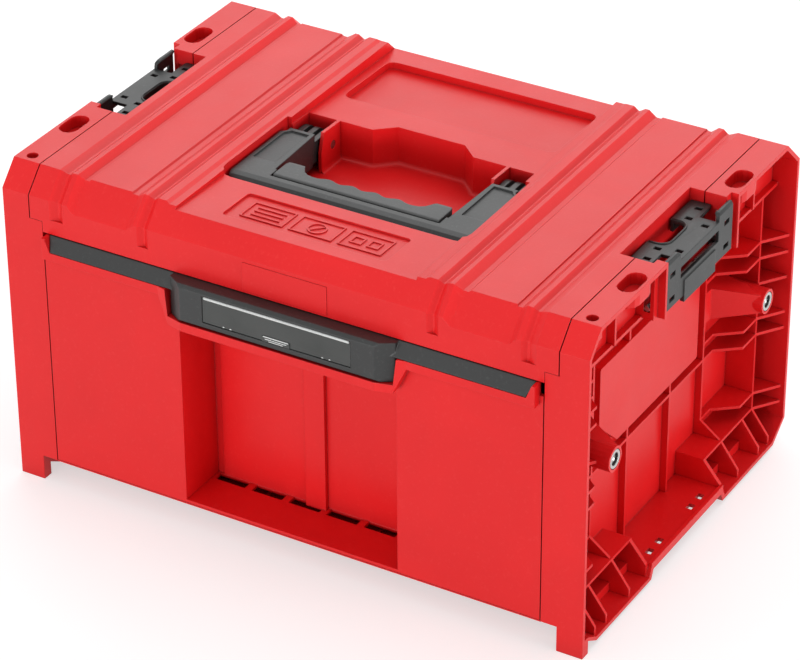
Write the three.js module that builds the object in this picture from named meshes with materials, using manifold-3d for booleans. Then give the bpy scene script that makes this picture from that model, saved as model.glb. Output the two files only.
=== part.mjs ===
// A stackable plastic toolbox with one deep drawer: two ribbed side panels carry a ridged top cover with
// a folding carry handle, a base plate, a back panel, ball slides for the drawer, and a stacking clip on
// each side.
// Millimetres, +Z up, +X to the right of someone who faces the drawer, and +Y towards the back.
import * as THREE from "three";
import { mergeVertices } from "three/addons/utils/BufferGeometryUtils.js";
import Module from "manifold-3d";

const wasm = await Module();
wasm.setup();

// Sizes that the whole box shares.
const CASE_WIDTH = 450;
const CASE_DEPTH = 310;
const CASE_HEIGHT = 247.6;
const WALL = 3; // outer moulded walls
const THIN_WALL = 2.5; // inner moulded walls
const RIB = 2.2;
const FIT = 0.3; // gap between two pieces that touch
const SEAM_GAP = 0.8; // open joint between the cover and the side panels
const OVERRUN = 20; // how far a cutter runs past the surface that it cuts
const HALF_WIDTH = CASE_WIDTH / 2;
const FRONT = -CASE_DEPTH / 2;
const REAR = CASE_DEPTH / 2;
const TOP = CASE_HEIGHT;

// Turns the places in a table into coordinates: those listed under inward are measured in from the side,
// those under down from the top, those under back from the front, and those under fore from the rear.
function placed({ inward = {}, down = {}, back = {}, fore = {}, ...sizes }) {
  const coordinates = { ...sizes };
  for (const [name, size] of Object.entries(inward)) coordinates[name] = HALF_WIDTH - size;
  for (const [name, size] of Object.entries(down)) coordinates[name] = TOP - size;
  for (const [name, size] of Object.entries(back)) coordinates[name] = FRONT + size;
  for (const [name, size] of Object.entries(fore)) coordinates[name] = REAR - size;
  return coordinates;
}

// Bevels along the top front and top rear edges, and how much of an inset their corners give up.
const FRONT_BEVEL = { run: 15.4, drop: 16.8 };
const REAR_BEVEL = { run: 20.5, drop: 19.2 };
const BEVEL_SHARE = 0.42;

// Where the side panels, the cover and the drawer meet: the seam between cover and panel, the drawer's
// opening, the level where the seam steps from one to the other, the cover's lower edge, and the base's lip.
const MEET = placed({
  inward: { seamX: 21.5, openingX: 31.8 },
  down: { stepZ: 34.6, headerZ: 42.6 },
  sillZ: 20.2,
});

// The side panel: a frame, open outwards, whose wall lies deep inside its rim.
const PANEL = placed({
  inward: { innerX: 40.5, footX: 19.5 },
  down: { shelfZ: 42.6 },
  footDepth: 8,
  footStep: 12,
  soleZ: 3,
  ledgeZ: 10,
  columnZ: 19.5,
  pocketDepth: 18,
  blockY: 55,
  blockBevel: 3,
  rearRun: 18,
  rearRise: 14,
  shelfReach: 26.5,
  lipHeight: 6,
});
const SHELF_TOP = PANEL.shelfZ + THIN_WALL;

// How far inside the rim the ribs end, in three levels that slopes join.
const REACH = placed({
  deep: 33,
  middle: 16,
  rimZ: 12,
  fore: { deepY: 71.5, slopeY: 57, middleY: 43, edgeY: 22, strutY: 38 },
});
const RAIL = { first: 31, pair: 13, pitch: 62, pairs: 3 }; // level ribs in pairs
const WALL_RIB_Y = 32;
const CELL_RIB = placed({ back: { frontY: 60 }, fore: { rearY: 45 }, reach: 8.5 });

// The bare raised plate on the deep wall.
const PLATE = { rise: 5.4, front: -75, rear: 72, low: 101.9, high: 171, cutY: 27, cutZ: 24, corner: 2 };

// Threaded inserts in bosses on the sides, with a web that tapers out to each boss.
const INSERT = placed({
  fore: { y: 40.5 },
  z: 134.5,
  radius: 7,
  bore: 3.4,
  length: 18,
  wall: 2.2,
  sunk: 0.4,
  collar: 2,
  waist: 0.8,
});
const WEB = placed({ fore: { footY: 63, headY: 47 }, height: 14, footHeight: 26, gap: 3 });

// Stacking sockets on top, pegs beneath them and the round holes at the front.
const SOCKET = placed({
  inward: { x: 9 },
  back: { frontY: 74 },
  fore: { rearY: 79 },
  half: 13.5,
  radius: 7,
  depth: 9,
  wall: 2,
  slack: 0.8,
});
const CORNER_HOLE = placed({ inward: { x: 10.4 }, back: { y: 22.5 }, radius: 4.2, depth: 14, wall: 2 });
const LEDGE_HOLE = placed({ inward: { x: 10 }, nearY: 24, farY: 38.5, width: 4.4, length: 6.4 });

// The cut-out for a stacking clip in the top edge, with a jog near the rim.
const NOTCH = placed({
  inward: { x: 32.5, rimX: 8 },
  down: { floor: 23.6 },
  front: -52.5,
  rear: 49.5,
  rimFront: -47.2,
  rimRear: 57,
});

// The clip: a deck with two ears, bent down into a face plate, with two lips that hook the box above.
const CLIP = placed({
  inward: { innerX: 31.1, earX: 15.5, bayX: 18, slotX: 7, faceX: 1, lugX: 14.6 },
  down: {
    deckZ: 8.6,
    bottom: 38.6,
    tabBottom: 43.1,
    tabTop: 26.6,
    windowLow: 23.1,
    windowHigh: 14.6,
    lipTop: 2.1,
    lugZ: 38.1,
    lugTop: 29.6,
  },
  thick: 2.4,
  bay: 16,
  bayCorner: 7,
  earCorner: 2,
  slot: 28,
  ear: 47,
  face: 48.7,
  centreY: 2,
  tab: 23,
  tabRise: 0.8,
  lipReach: 3,
  lipCorner: 5,
  skirt: 9,
  lug: 4,
});
const CLIP_HOLE = placed({
  inward: { x: 21 },
  down: { highZ: 14, lowZ: 32.2 },
  width: 5,
  height: 3.6,
  faceWidth: 7.5,
  nearY: 23,
  farY: 38,
  bendY: 19,
  faceY: 40,
});
const BAR = placed({ inward: { x: 10.6 }, down: { z: 34 }, radius: 2, lift: 20, gap: 0.35, seat: 2.2 });

// Strips pressed into the cover's top, as shares of the half width from outside to inside.
const RIDGE_SHARES = {
  groove: [0.9189, 0.8904, 0.8816, 0.8649],
  plateau: [0.8472, 0.8231, 0.8069, 0.8044, 0.6385, 0.6324, 0.6125, 0.5838],
  valley: [0.5695, 0.5489, 0.544, 0.5258],
  shelf: [0.4963, 0.4816],
};
const RIDGE = placed({ down: { grooveEnd: 31.6 }, groove: 2.4, plateau: 2.6, channel: 3.6, shelf: 1.3 });

// The sloping middle of the cover, and the two shallow fields in it.
const FIELD = { half: 92.4, frontDepth: 2.9, rearDepth: 10.2 };
const FRONT_FIELD = placed({ half: 63, back: { front: 23.5, rear: 58 }, depth: 1.6, corner: 3 });
const REAR_FIELD = placed({ half: 84.5, back: { front: 214 }, fore: { rear: 29.5 }, depth: 5.5, corner: 7 });
const FRAME = placed({
  back: { front: 30, rear: 51 },
  x: 1,
  pitch: 37.7,
  count: 3,
  half: 16.5,
  line: 1,
  rise: 0.8,
});
const NAMEPLATE = placed({ half: 32.5, down: { low: 40.6, high: 19.6 }, rise: 0.6 });

// The generic signs in the frames: bars, a ring with a bar across it, and two blocks.
const SIGN = { bars: 3, barHalf: 11, barPitch: 5, line: 1.2, ring: 7, blockHalf: 4.5, blockPitch: 13 };

// The bowl for the carry handle, and the ears that hold its pins.
const BOWL = placed({
  down: { floorZ: 36.6 },
  back: { front: 71, rear: 180.5, noseY: 193 },
  half: 95.5,
  shoulder: 4,
  pocketHalf: 91.5,
  slopeX: 40,
  noseHalf: 26.5,
  corner: 9,
});
const EAR = placed({ back: { front: 155 }, x: 66, width: 2.5, bevel: 6 });
const HINGE = placed({ down: { z: 21 }, back: { y: 170.5 }, pin: 3 });

// The carry handle, folded flat.
const HANDLE = placed({
  down: { top: 6.3, bottom: 30.6, neckBottom: 28.6 },
  back: { front: 76.4, barY: 98, insetFront: 106, rear: 153.5 },
  half: 93.5,
  corner: 6,
  edge: 4,
  armFront: 67.5,
  rearSlope: 4,
  relief: 4,
  knuckleRadius: 9,
  knuckleGap: 1.5,
  bars: 3,
  barGap: 3.4,
  barDepth: 3.4,
  inset: 1.2,
  insetRim: 3,
});

// The soft pad on the handle's bar, with a horn at each end and waves for the fingers.
const GRIP = placed({
  down: { top: 5.6, seat: 27.1 },
  back: { front: 90, waveY: 101, hornY: 112.5 },
  half: 64.5,
  waveHalf: 36,
  hornHalf: 52,
  hornFoot: 46.5,
  corner: 6.5,
  rootCorner: 12,
  fingers: 4,
  wave: 1.3,
  edge: 2,
  moat: 1.4,
});

// The drawer's front, with its deep recess.
const DRAWER = placed({
  inward: { half: 32.3 },
  down: { recessTop: 77.6 },
  thick: 3.2,
  bottom: 20.6,
  recessHalf: 84.5,
  recessDepth: 40,
  wall: 2.2,
  slots: 5,
  slotX: -9.3,
  slotPitch: 30.2,
  slotLength: 24.6,
  slotDepth: 8,
  ribX: -2,
  ribHalf: 8,
  ribRise: 3.6,
  stepX: 79,
});
const HOOD = placed({
  inward: { half: 35 },
  down: { wingLow: 59.3, middleLow: 79.1 },
  middleHalf: 87,
  slantHalf: 96,
});
const BIN = placed({
  back: { front: 6 },
  fore: { rear: 20 },
  down: { top: 61.6 },
  bottom: 22.9,
  nookGap: 4,
  rim: 3,
  sideGap: 12.5,
});
const GRIP_BAR = placed({
  inward: { end: 37.6 },
  down: { top: 43.2, wingLow: 52.8, middleLow: 72.4 },
  slant: 4,
  wingOut: 7,
  wingTopOut: 0.5,
  tail: 3,
  middleOut: 12.5,
  middleHalf: 75,
  middleBase: 87,
  middleBaseOut: 5,
  edge: 2.2,
  shell: 4.2,
});
const LABEL = placed({
  down: { low: 66.8, hingeZ: 48.3, tabHigh: 63.1 },
  half: 57,
  thick: 1.2,
  recess: 2.6,
  bead: 1,
  tabHalf: 10.7,
});
const LATCH = placed({
  back: { pivotY: 9, armRear: 31, cheekRear: 16 },
  down: { pivotZ: 55.6, padLow: 89.6, cheekTop: 50.6 },
  half: 26,
  hub: 4,
  thick: 2.6,
  nose: 4,
  noseGap: 0.4,
  cheek: 2.5,
  pin: 1.5,
  keeper: 3,
});
const SPRING = { turns: 5, radius: 2.4, wire: 0.42, pitch: 1.7, steps: 8, sides: 5 };

// Ball slides, and screws.
const SLIDE = placed({
  back: { front: 25 },
  fore: { rear: 21 },
  z: 112.5,
  height: 35,
  sheet: 1.2,
  flange: 8,
  cageSheet: 0.7,
  ball: 2.25,
});
const CAGE = { front: -34, rear: 38, balls: 5, ballX: 5.6 };
const STUD = { radius: 3, y: 60 };
const SCREW = { head: 4, headHeight: 2.2, recess: 1.3, shank: 2, length: 12, gap: 0.35, sides: 8 };
const BASE_SCREW = placed({ inward: { x: 46.5 }, fore: { y: 50 }, post: 5.5, postTop: 30 });
const COVER_SCREW = placed({ inward: { x: 27.4 }, fore: { y: 55 }, post: 4.8 });
const BACK_SCREW = placed({
  inward: { x: 75 },
  down: { highZ: 49.6 },
  lowZ: 24,
  post: 6,
  boss: 8,
  pad: 3,
  reach: 10.5,
});
const FRONT_SCREW = placed({ inward: { x: 90 }, down: { highZ: 82.6 }, lowZ: 44, boss: 6, length: 7.2 });
const BASE_RIB = { count: 4, pitch: 90, height: 3 };
const BACK_RIB = { count: 5, pitch: 70, height: 3, margin: 8 };

// The box stands with its overall depth, drawer bar included, centred on the origin.
const CENTRE_Y = GRIP_BAR.middleOut / 2;

// How finely round forms are cut into faces. Thin bars get fewer.
const ROUND = { thinRadius: 4, thinSides: 12, sides: 18, lathe: 20, corner: 3, oval: 6, wave: 6, weld: 1e-4 };

// Turns a closed geometry into a solid, and a solid into a geometry with flat faces.
function solid(geometry) {
  const bare = geometry.index ? geometry.toNonIndexed() : geometry.clone();
  bare.deleteAttribute("normal");
  bare.deleteAttribute("uv");
  const merged = mergeVertices(bare, ROUND.weld);
  return new wasm.Manifold(
    new wasm.Mesh({
      numProp: 3,
      vertProperties: new Float32Array(merged.attributes.position.array),
      triVerts: new Uint32Array(merged.index.array),
    }),
  );
}

function geometryOf(body) {
  const { numProp, vertProperties, triVerts } = body.getMesh();
  const positions = new Float32Array((vertProperties.length / numProp) * 3);
  for (let i = 0; i < positions.length / 3; i++) {
    positions.set(vertProperties.subarray(i * numProp, i * numProp + 3), i * 3);
  }
  const geometry = new THREE.BufferGeometry();
  geometry.setAttribute("position", new THREE.BufferAttribute(positions, 3));
  geometry.setIndex(new THREE.BufferAttribute(new Uint32Array(triVerts), 1));
  const flat = geometry.toNonIndexed();
  flat.computeVertexNormals();
  return flat;
}

const join = (...bodies) => bodies.flat().reduce((sum, body) => sum.add(body));
const cut = (body, ...tools) => tools.flat().reduce((rest, tool) => rest.subtract(tool), body);

// A box between two corners.
function block([x0, x1], [y0, y1], [z0, z1]) {
  const geometry = new THREE.BoxGeometry(x1 - x0, y1 - y0, z1 - z0);
  geometry.translate((x0 + x1) / 2, (y0 + y1) / 2, (z0 + z1) / 2);
  return solid(geometry);
}

// An outline pushed along an axis. Its points are (y, z) along x, (x, z) along y and (x, y) along z.
function prism(axis, outline, from, to) {
  const shape = new THREE.Shape(outline.map(([u, v]) => new THREE.Vector2(u, v)));
  const geometry = new THREE.ExtrudeGeometry(shape, { depth: to - from, bevelEnabled: false });
  const frame = new THREE.Matrix4();
  const x = new THREE.Vector3(1, 0, 0);
  const y = new THREE.Vector3(0, 1, 0);
  const z = new THREE.Vector3(0, 0, 1);
  if (axis === "x") frame.makeBasis(y, z, x).setPosition(from, 0, 0);
  if (axis === "y") frame.makeBasis(x, z, y.negate()).setPosition(0, to, 0);
  if (axis === "z") frame.makeTranslation(0, 0, from);
  geometry.applyMatrix4(frame);
  return solid(geometry);
}

// A round bar along an axis, centred on the other two coordinates.
function rod(axis, [a, b], radius, from, to) {
  const sides = radius > ROUND.thinRadius ? ROUND.sides : ROUND.thinSides;
  const outline = [];
  for (let i = 0; i < sides; i++) {
    const turn = ((i + 0.5) / sides) * Math.PI * 2;
    outline.push([a + Math.cos(turn) * radius, b + Math.sin(turn) * radius]);
  }
  return prism(axis, outline, from, to);
}

// A solid of revolution about y, from (radius, height) points that end on the axis or close on themselves.
function revolve(profile, sides = ROUND.lathe) {
  return solid(new THREE.LatheGeometry(profile.map(([r, h]) => new THREE.Vector2(r, h)), sides));
}

const centred = (middle, size) => [middle - size / 2, middle + size / 2];
const ordered = (a, b) => (a < b ? [a, b] : [b, a]);
const mirrorOutline = (right) => [...right, ...right.map(([x, ...rest]) => [-x, ...rest]).reverse()];

// A copy of an outline with its named corners rounded: each corner is [u, v] or [u, v, radius].
function rounded(corners) {
  const outline = [];
  corners.forEach(([u, v, radius], i) => {
    if (!radius) {
      outline.push([u, v]);
      return;
    }
    const corner = new THREE.Vector2(u, v);
    const before = new THREE.Vector2(...corners.at(i - 1).slice(0, 2)).sub(corner);
    const after = new THREE.Vector2(...corners[(i + 1) % corners.length].slice(0, 2)).sub(corner);
    const half = Math.acos(before.clone().normalize().dot(after.clone().normalize())) / 2;
    const reach = radius / Math.tan(half);
    const start = before.setLength(reach).add(corner);
    const end = after.setLength(reach).add(corner);
    const curve = new THREE.QuadraticBezierCurve(start, corner, end);
    curve.getPoints(ROUND.corner).forEach((point) => outline.push([point.x, point.y]));
  });
  return outline;
}

// An upright slot or peg with round ends, long in y.
function oval(x, y, half, radius, from, to) {
  const outline = [];
  const steps = ROUND.oval;
  for (let i = 0; i <= steps * 2 + 1; i++) {
    const end = i <= steps ? 1 : -1;
    const turn = ((i <= steps ? i : i - 1) / steps) * Math.PI;
    outline.push([x + Math.cos(turn) * radius, y + end * (half - radius) + Math.sin(turn) * radius]);
  }
  return prism("z", outline, from, to);
}

// A section of (x, depth) points swept along a path of (y, z) corners, mitred at each corner.
function sweep(section, path) {
  const points = path.map(([y, z]) => new THREE.Vector2(y, z));
  const normals = points.slice(1).map((point, i) => {
    const along = point.clone().sub(points[i]).normalize();
    return new THREE.Vector2(along.y, -along.x);
  });
  const rings = points.map((point, i) => {
    const before = normals[Math.max(i - 1, 0)];
    const after = normals[Math.min(i, normals.length - 1)];
    const mitre = before.clone().add(after);
    mitre.multiplyScalar(2 / mitre.lengthSq());
    return section.map(([x, depth]) => [x, point.x + mitre.x * depth, point.y + mitre.y * depth]);
  });
  return loft(rings, section);
}

// A closed skin over rings of equal counts, with both ends capped from the flat section.
function loft(rings, section) {
  const count = section.length;
  const positions = rings.flat(2);
  const faces = [];
  for (let ring = 0; ring < rings.length - 1; ring++) {
    for (let i = 0; i < count; i++) {
      const a = ring * count + i;
      const b = ring * count + ((i + 1) % count);
      faces.push(a, b, b + count, a, b + count, a + count);
    }
  }
  const cap = THREE.ShapeUtils.triangulateShape(section.map(([u, v]) => new THREE.Vector2(u, v)), []);
  const last = (rings.length - 1) * count;
  for (const [a, b, c] of cap) {
    faces.push(c, b, a, last + a, last + b, last + c);
  }
  const geometry = new THREE.BufferGeometry();
  geometry.setAttribute("position", new THREE.Float32BufferAttribute(positions, 3));
  geometry.setIndex(faces);
  const body = solid(geometry);
  if (body.volume() > 0) return body;
  const turned = [];
  for (let i = 0; i < faces.length; i += 3) turned.push(faces[i], faces[i + 2], faces[i + 1]);
  geometry.setIndex(turned);
  return solid(geometry);
}

const root = new THREE.Group();
root.name = "drawer_toolbox";
root.position.y = CENTRE_Y;

// Adds a named piece. A piece of the left side is the right one's mirror image.
function add(name, body, material, mirrored = false) {
  const mesh = new THREE.Mesh(geometryOf(body), material);
  mesh.name = name;
  if (mirrored) mesh.scale.x = -1;
  root.add(mesh);
  return mesh;
}

function addPair(name, body, material) {
  add(name + "_right", body, material);
  add(name + "_left", body, material, true);
}

const red = new THREE.MeshStandardMaterial({ color: 0xe02b2c, roughness: 0.5, metalness: 0 });
const darkGrey = new THREE.MeshStandardMaterial({ color: 0x4a4c4c, roughness: 0.5, metalness: 0 });
const softGrey = new THREE.MeshStandardMaterial({ color: 0x626464, roughness: 0.75, metalness: 0 });
const smoke = new THREE.MeshStandardMaterial({ color: 0x5c5f5e, roughness: 0.15, metalness: 0 });
const steel = new THREE.MeshStandardMaterial({ color: 0xb9bcbf, roughness: 0.3, metalness: 1 });
const zinc = new THREE.MeshStandardMaterial({ color: 0x9da1a6, roughness: 0.4, metalness: 1 });
const springSteel = new THREE.MeshStandardMaterial({ color: 0x8c8f94, roughness: 0.35, metalness: 1 });

// A screw with a recessed head, the head's underside at zero and its shank along +y.
function screw(length) {
  const { head, headHeight, recess, shank } = SCREW;
  return revolve(
    [
      [0, recess - headHeight],
      [shank, recess - headHeight],
      [shank, -headHeight],
      [head - recess / 2, -headHeight],
      [head, recess / 2 - headHeight],
      [head, 0],
      [shank, 0],
      [shank, length - shank],
      [0, length],
    ],
    SCREW.sides,
  );
}

function addScrew(name, at, direction, length = SCREW.length) {
  const mesh = add(name, screw(length), zinc);
  mesh.position.set(...at);
  mesh.quaternion.setFromUnitVectors(outwards, direction);
}

const holeRadius = SCREW.shank + SCREW.gap;
const outwards = new THREE.Vector3(0, 1, 0);
const up = new THREE.Vector3(0, 0, 1);

// The side panel's outline seen from the side. An inset outline is the hollow in it.
function sideOutline(inset) {
  const { footDepth, footStep, soleZ, ledgeZ, blockY, blockBevel, rearRun, rearRise } = PANEL;
  const front = FRONT + inset;
  const rear = REAR - inset;
  const top = TOP - inset;
  const slack = inset * BEVEL_SHARE;
  const footZ = inset ? ledgeZ + inset : 0;
  return [
    [front, footZ],
    [FRONT + footDepth, footZ],
    [FRONT + footDepth, ledgeZ + inset],
    [FRONT + footDepth + footStep, soleZ + inset],
    [-blockY - inset, soleZ + inset],
    [-blockY - inset + blockBevel, ledgeZ + inset],
    [blockY + inset - blockBevel, ledgeZ + inset],
    [blockY + inset, soleZ + inset],
    [REAR - rearRun - slack, soleZ + inset],
    [rear, soleZ + rearRise + slack],
    [rear, TOP - REAR_BEVEL.drop - slack],
    [REAR - REAR_BEVEL.run - slack, top],
    [FRONT + FRONT_BEVEL.run + slack, top],
    [front, TOP - FRONT_BEVEL.drop - slack],
  ];
}

// A level rib of the front or rear zone: its outer edge steps from the deep wall out to the rim.
function rail(z, side) {
  const { deep, middle, deepY, slopeY, middleY, edgeY } = REACH;
  const root = PANEL.innerX + RIB;
  const outline = [
    [root, deepY],
    [HALF_WIDTH - deep, deepY],
    [HALF_WIDTH - deep, slopeY],
    [HALF_WIDTH - middle, middleY],
    [HALF_WIDTH - middle, edgeY],
    [HALF_WIDTH - RIB, REAR - WALL / 2],
    [root, REAR - WALL / 2],
  ];
  return prism("z", outline.map(([x, y]) => [x, y * side]), z - RIB / 2, z + RIB / 2);
}

// An upright rib, from a level down to the sole, stepping out to the rim at its foot.
function strut(y, reach, top) {
  const root = PANEL.innerX + RIB;
  const sole = PANEL.soleZ + WALL / 2;
  const foot = RAIL.first;
  const outline = [
    [root, top],
    [root, sole],
    [HALF_WIDTH - RIB, sole],
    [HALF_WIDTH - RIB, REACH.rimZ],
    [HALF_WIDTH - REACH.middle, foot],
  ];
  if (reach > REACH.middle) outline.push([HALF_WIDTH - reach, foot + RAIL.pair]);
  if (top > foot) outline.push([HALF_WIDTH - reach, top]);
  return prism("y", outline, y - RIB / 2, y + RIB / 2);
}

// A boss for a threaded insert, tied to the deep wall by a sloping web and to the rim by a thin rib.
function sideBoss(side) {
  const { y, z, radius, wall } = INSERT;
  const root = PANEL.innerX + RIB;
  const tip = HALF_WIDTH - WEB.gap;
  const web = [
    [root, REACH.deepY],
    [HALF_WIDTH - REACH.deep, REACH.deepY],
    [HALF_WIDTH - REACH.deep, WEB.footY],
    [tip, WEB.headY],
    [tip, y],
    [root, y],
  ];
  const taper = [
    [root, z - WEB.footHeight / 2],
    [tip, z - WEB.height / 2],
    [tip, z + WEB.height / 2],
    [root, z + WEB.footHeight / 2],
  ];
  const tie = [
    [root, y],
    [HALF_WIDTH - REACH.middle / 2, y + radius],
    [HALF_WIDTH - REACH.middle, REACH.edgeY],
    [HALF_WIDTH - RIB, REAR - WALL / 2],
    [root, REAR - WALL / 2],
  ];
  const mirrored = (outline) => outline.map(([u, v]) => [u, v * side]);
  const arm = prism("z", mirrored(web), z - WEB.footHeight / 2, z + WEB.footHeight / 2);
  return join(
    rod("x", [side * y, z], radius + wall, root, HALF_WIDTH - INSERT.sunk),
    arm.intersect(prism("y", taper, FRONT, REAR)),
    prism("z", mirrored(tie), z - RIB / 2, z + RIB / 2),
  );
}

// The ribs of one end of the panel, and the foot block below them.
function endRibs(side) {
  const { innerX, blockY, ledgeZ, soleZ } = PANEL;
  const { deep, middle, deepY, edgeY, rimZ, strutY } = REACH;
  const root = innerX + RIB;
  const high = SHELF_TOP - RIB / 2;
  const ribs = [
    strut(side * deepY, deep, high),
    strut(side * edgeY, middle, high),
    strut(side * strutY, middle, RAIL.first),
    sideBoss(side),
    block([root, HALF_WIDTH - deep], centred(side * WALL_RIB_Y, RIB), [ledgeZ + RIB / 2, high]),
    block([root, HALF_WIDTH - middle], ordered(side * blockY, side * edgeY), centred(RAIL.first, RIB)),
  ];
  for (let pair = 0; pair < RAIL.pairs; pair++) {
    const z = RAIL.first + pair * RAIL.pitch;
    ribs.push(rail(z, side), rail(z + RAIL.pair, side));
  }
  const blockEnd = [
    [root, soleZ + WALL / 2],
    [HALF_WIDTH - WALL, soleZ + WALL / 2],
    [HALF_WIDTH - WALL, rimZ + WALL],
    [HALF_WIDTH - middle, RAIL.first],
    [root, RAIL.first],
  ];
  const end = side * (blockY + WALL / 2);
  ribs.push(prism("y", blockEnd, end - WALL / 2, end + WALL / 2));
  return ribs;
}

function sidePanel() {
  const { innerX, footX, ledgeZ, soleZ, columnZ, pocketDepth, blockY, shelfZ, shelfReach, lipHeight } = PANEL;
  const past = OVERRUN;
  const wallX = innerX + THIN_WALL;
  const seam = MEET.seamX + SEAM_GAP / 2;
  const column = MEET.openingX + FIT;
  const pocketY = FRONT + pocketDepth;
  const behind = pocketY + THIN_WALL;
  const outside = prism("x", sideOutline(0), innerX, HALF_WIDTH);
  const ledge = [ledgeZ, ledgeZ + WALL];
  const middleRail = RAIL.first + RAIL.pitch;

  const shell = join(
    cut(outside, prism("x", sideOutline(WALL), innerX - past, HALF_WIDTH + past)),
    block([innerX, wallX], [FRONT, REAR], [ledgeZ, SHELF_TOP]).intersect(outside),
    block([innerX, column + THIN_WALL], [pocketY, behind], [ledgeZ, MEET.stepZ]),
    block([column, column + THIN_WALL], [FRONT, behind], [columnZ, MEET.stepZ]),
    block([column, seam + THIN_WALL], [FRONT, behind], [MEET.stepZ - THIN_WALL, MEET.stepZ]),
    block([innerX, innerX + shelfReach], [behind - THIN_WALL, REAR - WALL / 2], [shelfZ, SHELF_TOP]),
    block([seam, seam + THIN_WALL], [FRONT, REAR], [shelfZ, TOP]).intersect(outside),
    block([innerX, footX + THIN_WALL], [behind - THIN_WALL, REAR], ledge).intersect(outside),
    block([footX, footX + THIN_WALL], [FRONT, REAR], [soleZ, ledgeZ + WALL]).intersect(outside),
    block([column, footX + THIN_WALL], [FRONT, behind], [columnZ, columnZ + WALL]),
    block([footX, footX + THIN_WALL], [FRONT, behind], [ledgeZ, columnZ + WALL]),
  );
  const ribs = [
    ...endRibs(-1),
    ...endRibs(1),
    block([innerX + RIB, HALF_WIDTH - REACH.deep], [-REACH.deepY, REACH.deepY], centred(middleRail, RIB)),
    block([HALF_WIDTH - THIN_WALL, HALF_WIDTH], [-blockY, blockY], [ledgeZ, ledgeZ + lipHeight]),
    ...[CELL_RIB.frontY, CELL_RIB.rearY].map((y) =>
      block([seam + RIB, seam + CELL_RIB.reach], centred(y, RIB), [SHELF_TOP - RIB / 2, TOP - WALL / 2]),
    ),
  ];
  const hollows = [
    block([innerX - past, seam], [FRONT - past, REAR + past], [MEET.stepZ, TOP + past]),
    block([innerX - past, seam], [behind, REAR + past], [SHELF_TOP, TOP + past]),
    block([innerX - past, column], [FRONT - past, pocketY], [-past, TOP + past]),
    block([innerX - past, footX], [FRONT - past, REAR + past], [-past, ledgeZ]),
    block([innerX - past, footX], [FRONT - past, pocketY], [-past, columnZ]),
  ];
  const frame = cut(join(shell, ribs), hollows);

  const { rise, front, rear, low, high, cutY, cutZ, corner } = PLATE;
  const plate = rounded([
    [front, low + cutZ, corner],
    [front + cutY, low, corner],
    [rear, low, corner],
    [rear, high, corner],
    [front, high, corner],
  ]);
  const additions = [prism("x", plate, innerX + RIB, wallX + rise), clipWalls()];
  const cutters = clipRoom();
  for (const y of [SOCKET.frontY, SOCKET.rearY]) {
    const { x, half, radius, depth, wall, slack } = SOCKET;
    const cup = oval(x, y, half + wall, radius + wall, TOP - depth - wall, TOP - WALL / 2);
    additions.push(cup.intersect(outside));
    additions.push(oval(x, y, half - slack, radius - slack, 0, soleZ + WALL));
    cutters.push(oval(x, y, half, radius, TOP - depth, TOP + past));
  }
  const hole = CORNER_HOLE;
  additions.push(rod("z", [hole.x, hole.y], hole.radius + hole.wall, TOP - hole.depth, TOP - WALL / 2));
  cutters.push(rod("z", [hole.x, hole.y], hole.radius, TOP - hole.depth - past, TOP + past));

  for (const side of [-1, 1]) {
    const { x, nearY, farY, width, length } = LEDGE_HOLE;
    for (const y of [nearY, farY]) {
      cutters.push(block(centred(x, width), centred(side * y, length), [0, ledgeZ + WALL + RIB]));
    }
    const insertEnd = HALF_WIDTH - INSERT.sunk - INSERT.length - FIT;
    cutters.push(rod("x", [side * INSERT.y, INSERT.z], INSERT.radius + FIT, insertEnd, HALF_WIDTH + past));
    cutters.push(rod("z", [COVER_SCREW.x, side * COVER_SCREW.y], holeRadius, shelfZ - RIB, SHELF_TOP + RIB));
    cutters.push(rod("x", [side * STUD.y, SLIDE.z], STUD.radius + FIT, innerX - past, wallX + FIT));

    // Posts above the base plate take its screws.
    const { post, postTop } = BASE_SCREW;
    const y = side * BASE_SCREW.y;
    const span = [BASE_SCREW.x - post, innerX + RIB];
    additions.push(block(span, centred(y, post * 2), [ledgeZ + WALL + FIT, postTop]));
    cutters.push(rod("z", [BASE_SCREW.x, y], holeRadius, 0, postTop - WALL));
  }
  return cut(join(frame, additions), cutters);
}

// Walls that close the clip's cut-out at its front and rear, each with a jog near the rim.
function clipWalls() {
  const { front, rear, rimX, rimFront, rimRear } = NOTCH;
  const seam = MEET.seamX + SEAM_GAP / 2;
  const t = THIN_WALL;
  const frontOutline = [
    [seam, front - t],
    [rimX + t, front - t],
    [rimX + t, rimFront - t],
    [HALF_WIDTH, rimFront - t],
    [HALF_WIDTH, rimFront],
    [rimX, rimFront],
    [rimX, front],
    [seam, front],
  ];
  const rearOutline = [
    [seam, rear],
    [rimX + t, rear],
    [rimX + t, rimRear],
    [HALF_WIDTH, rimRear],
    [HALF_WIDTH, rimRear + t],
    [rimX, rimRear + t],
    [rimX, rear + t],
    [seam, rear + t],
  ];
  return join([frontOutline, rearOutline].map((outline) => prism("z", outline, PANEL.shelfZ + RIB / 2, TOP)));
}

// The cut-out itself, and the upright slots that guide the clip's bar.
function clipRoom() {
  const { x, front, rear, rimX, rimFront, rimRear, floor } = NOTCH;
  const past = OVERRUN;
  const { lift, gap, radius, seat } = BAR;
  const edge = HALF_WIDTH + past;
  const outline = [
    [x, front],
    [rimX, front],
    [rimX, rimFront],
    [edge, rimFront],
    [edge, rimRear],
    [rimX + THIN_WALL, rimRear],
    [rimX + THIN_WALL, rear],
    [x, rear],
  ];
  const slot = centred(BAR.x, (radius + gap) * 2);
  const heights = [BAR.z - radius - gap, BAR.z + radius + gap + lift];
  return [
    prism("z", outline, floor, TOP + past),
    block(slot, [front - seat - FIT, front + RIB], heights),
    block(slot, [rear - RIB, rear + seat + FIT], heights),
  ];
}

addPair("side_panel", sidePanel(), red);

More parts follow.
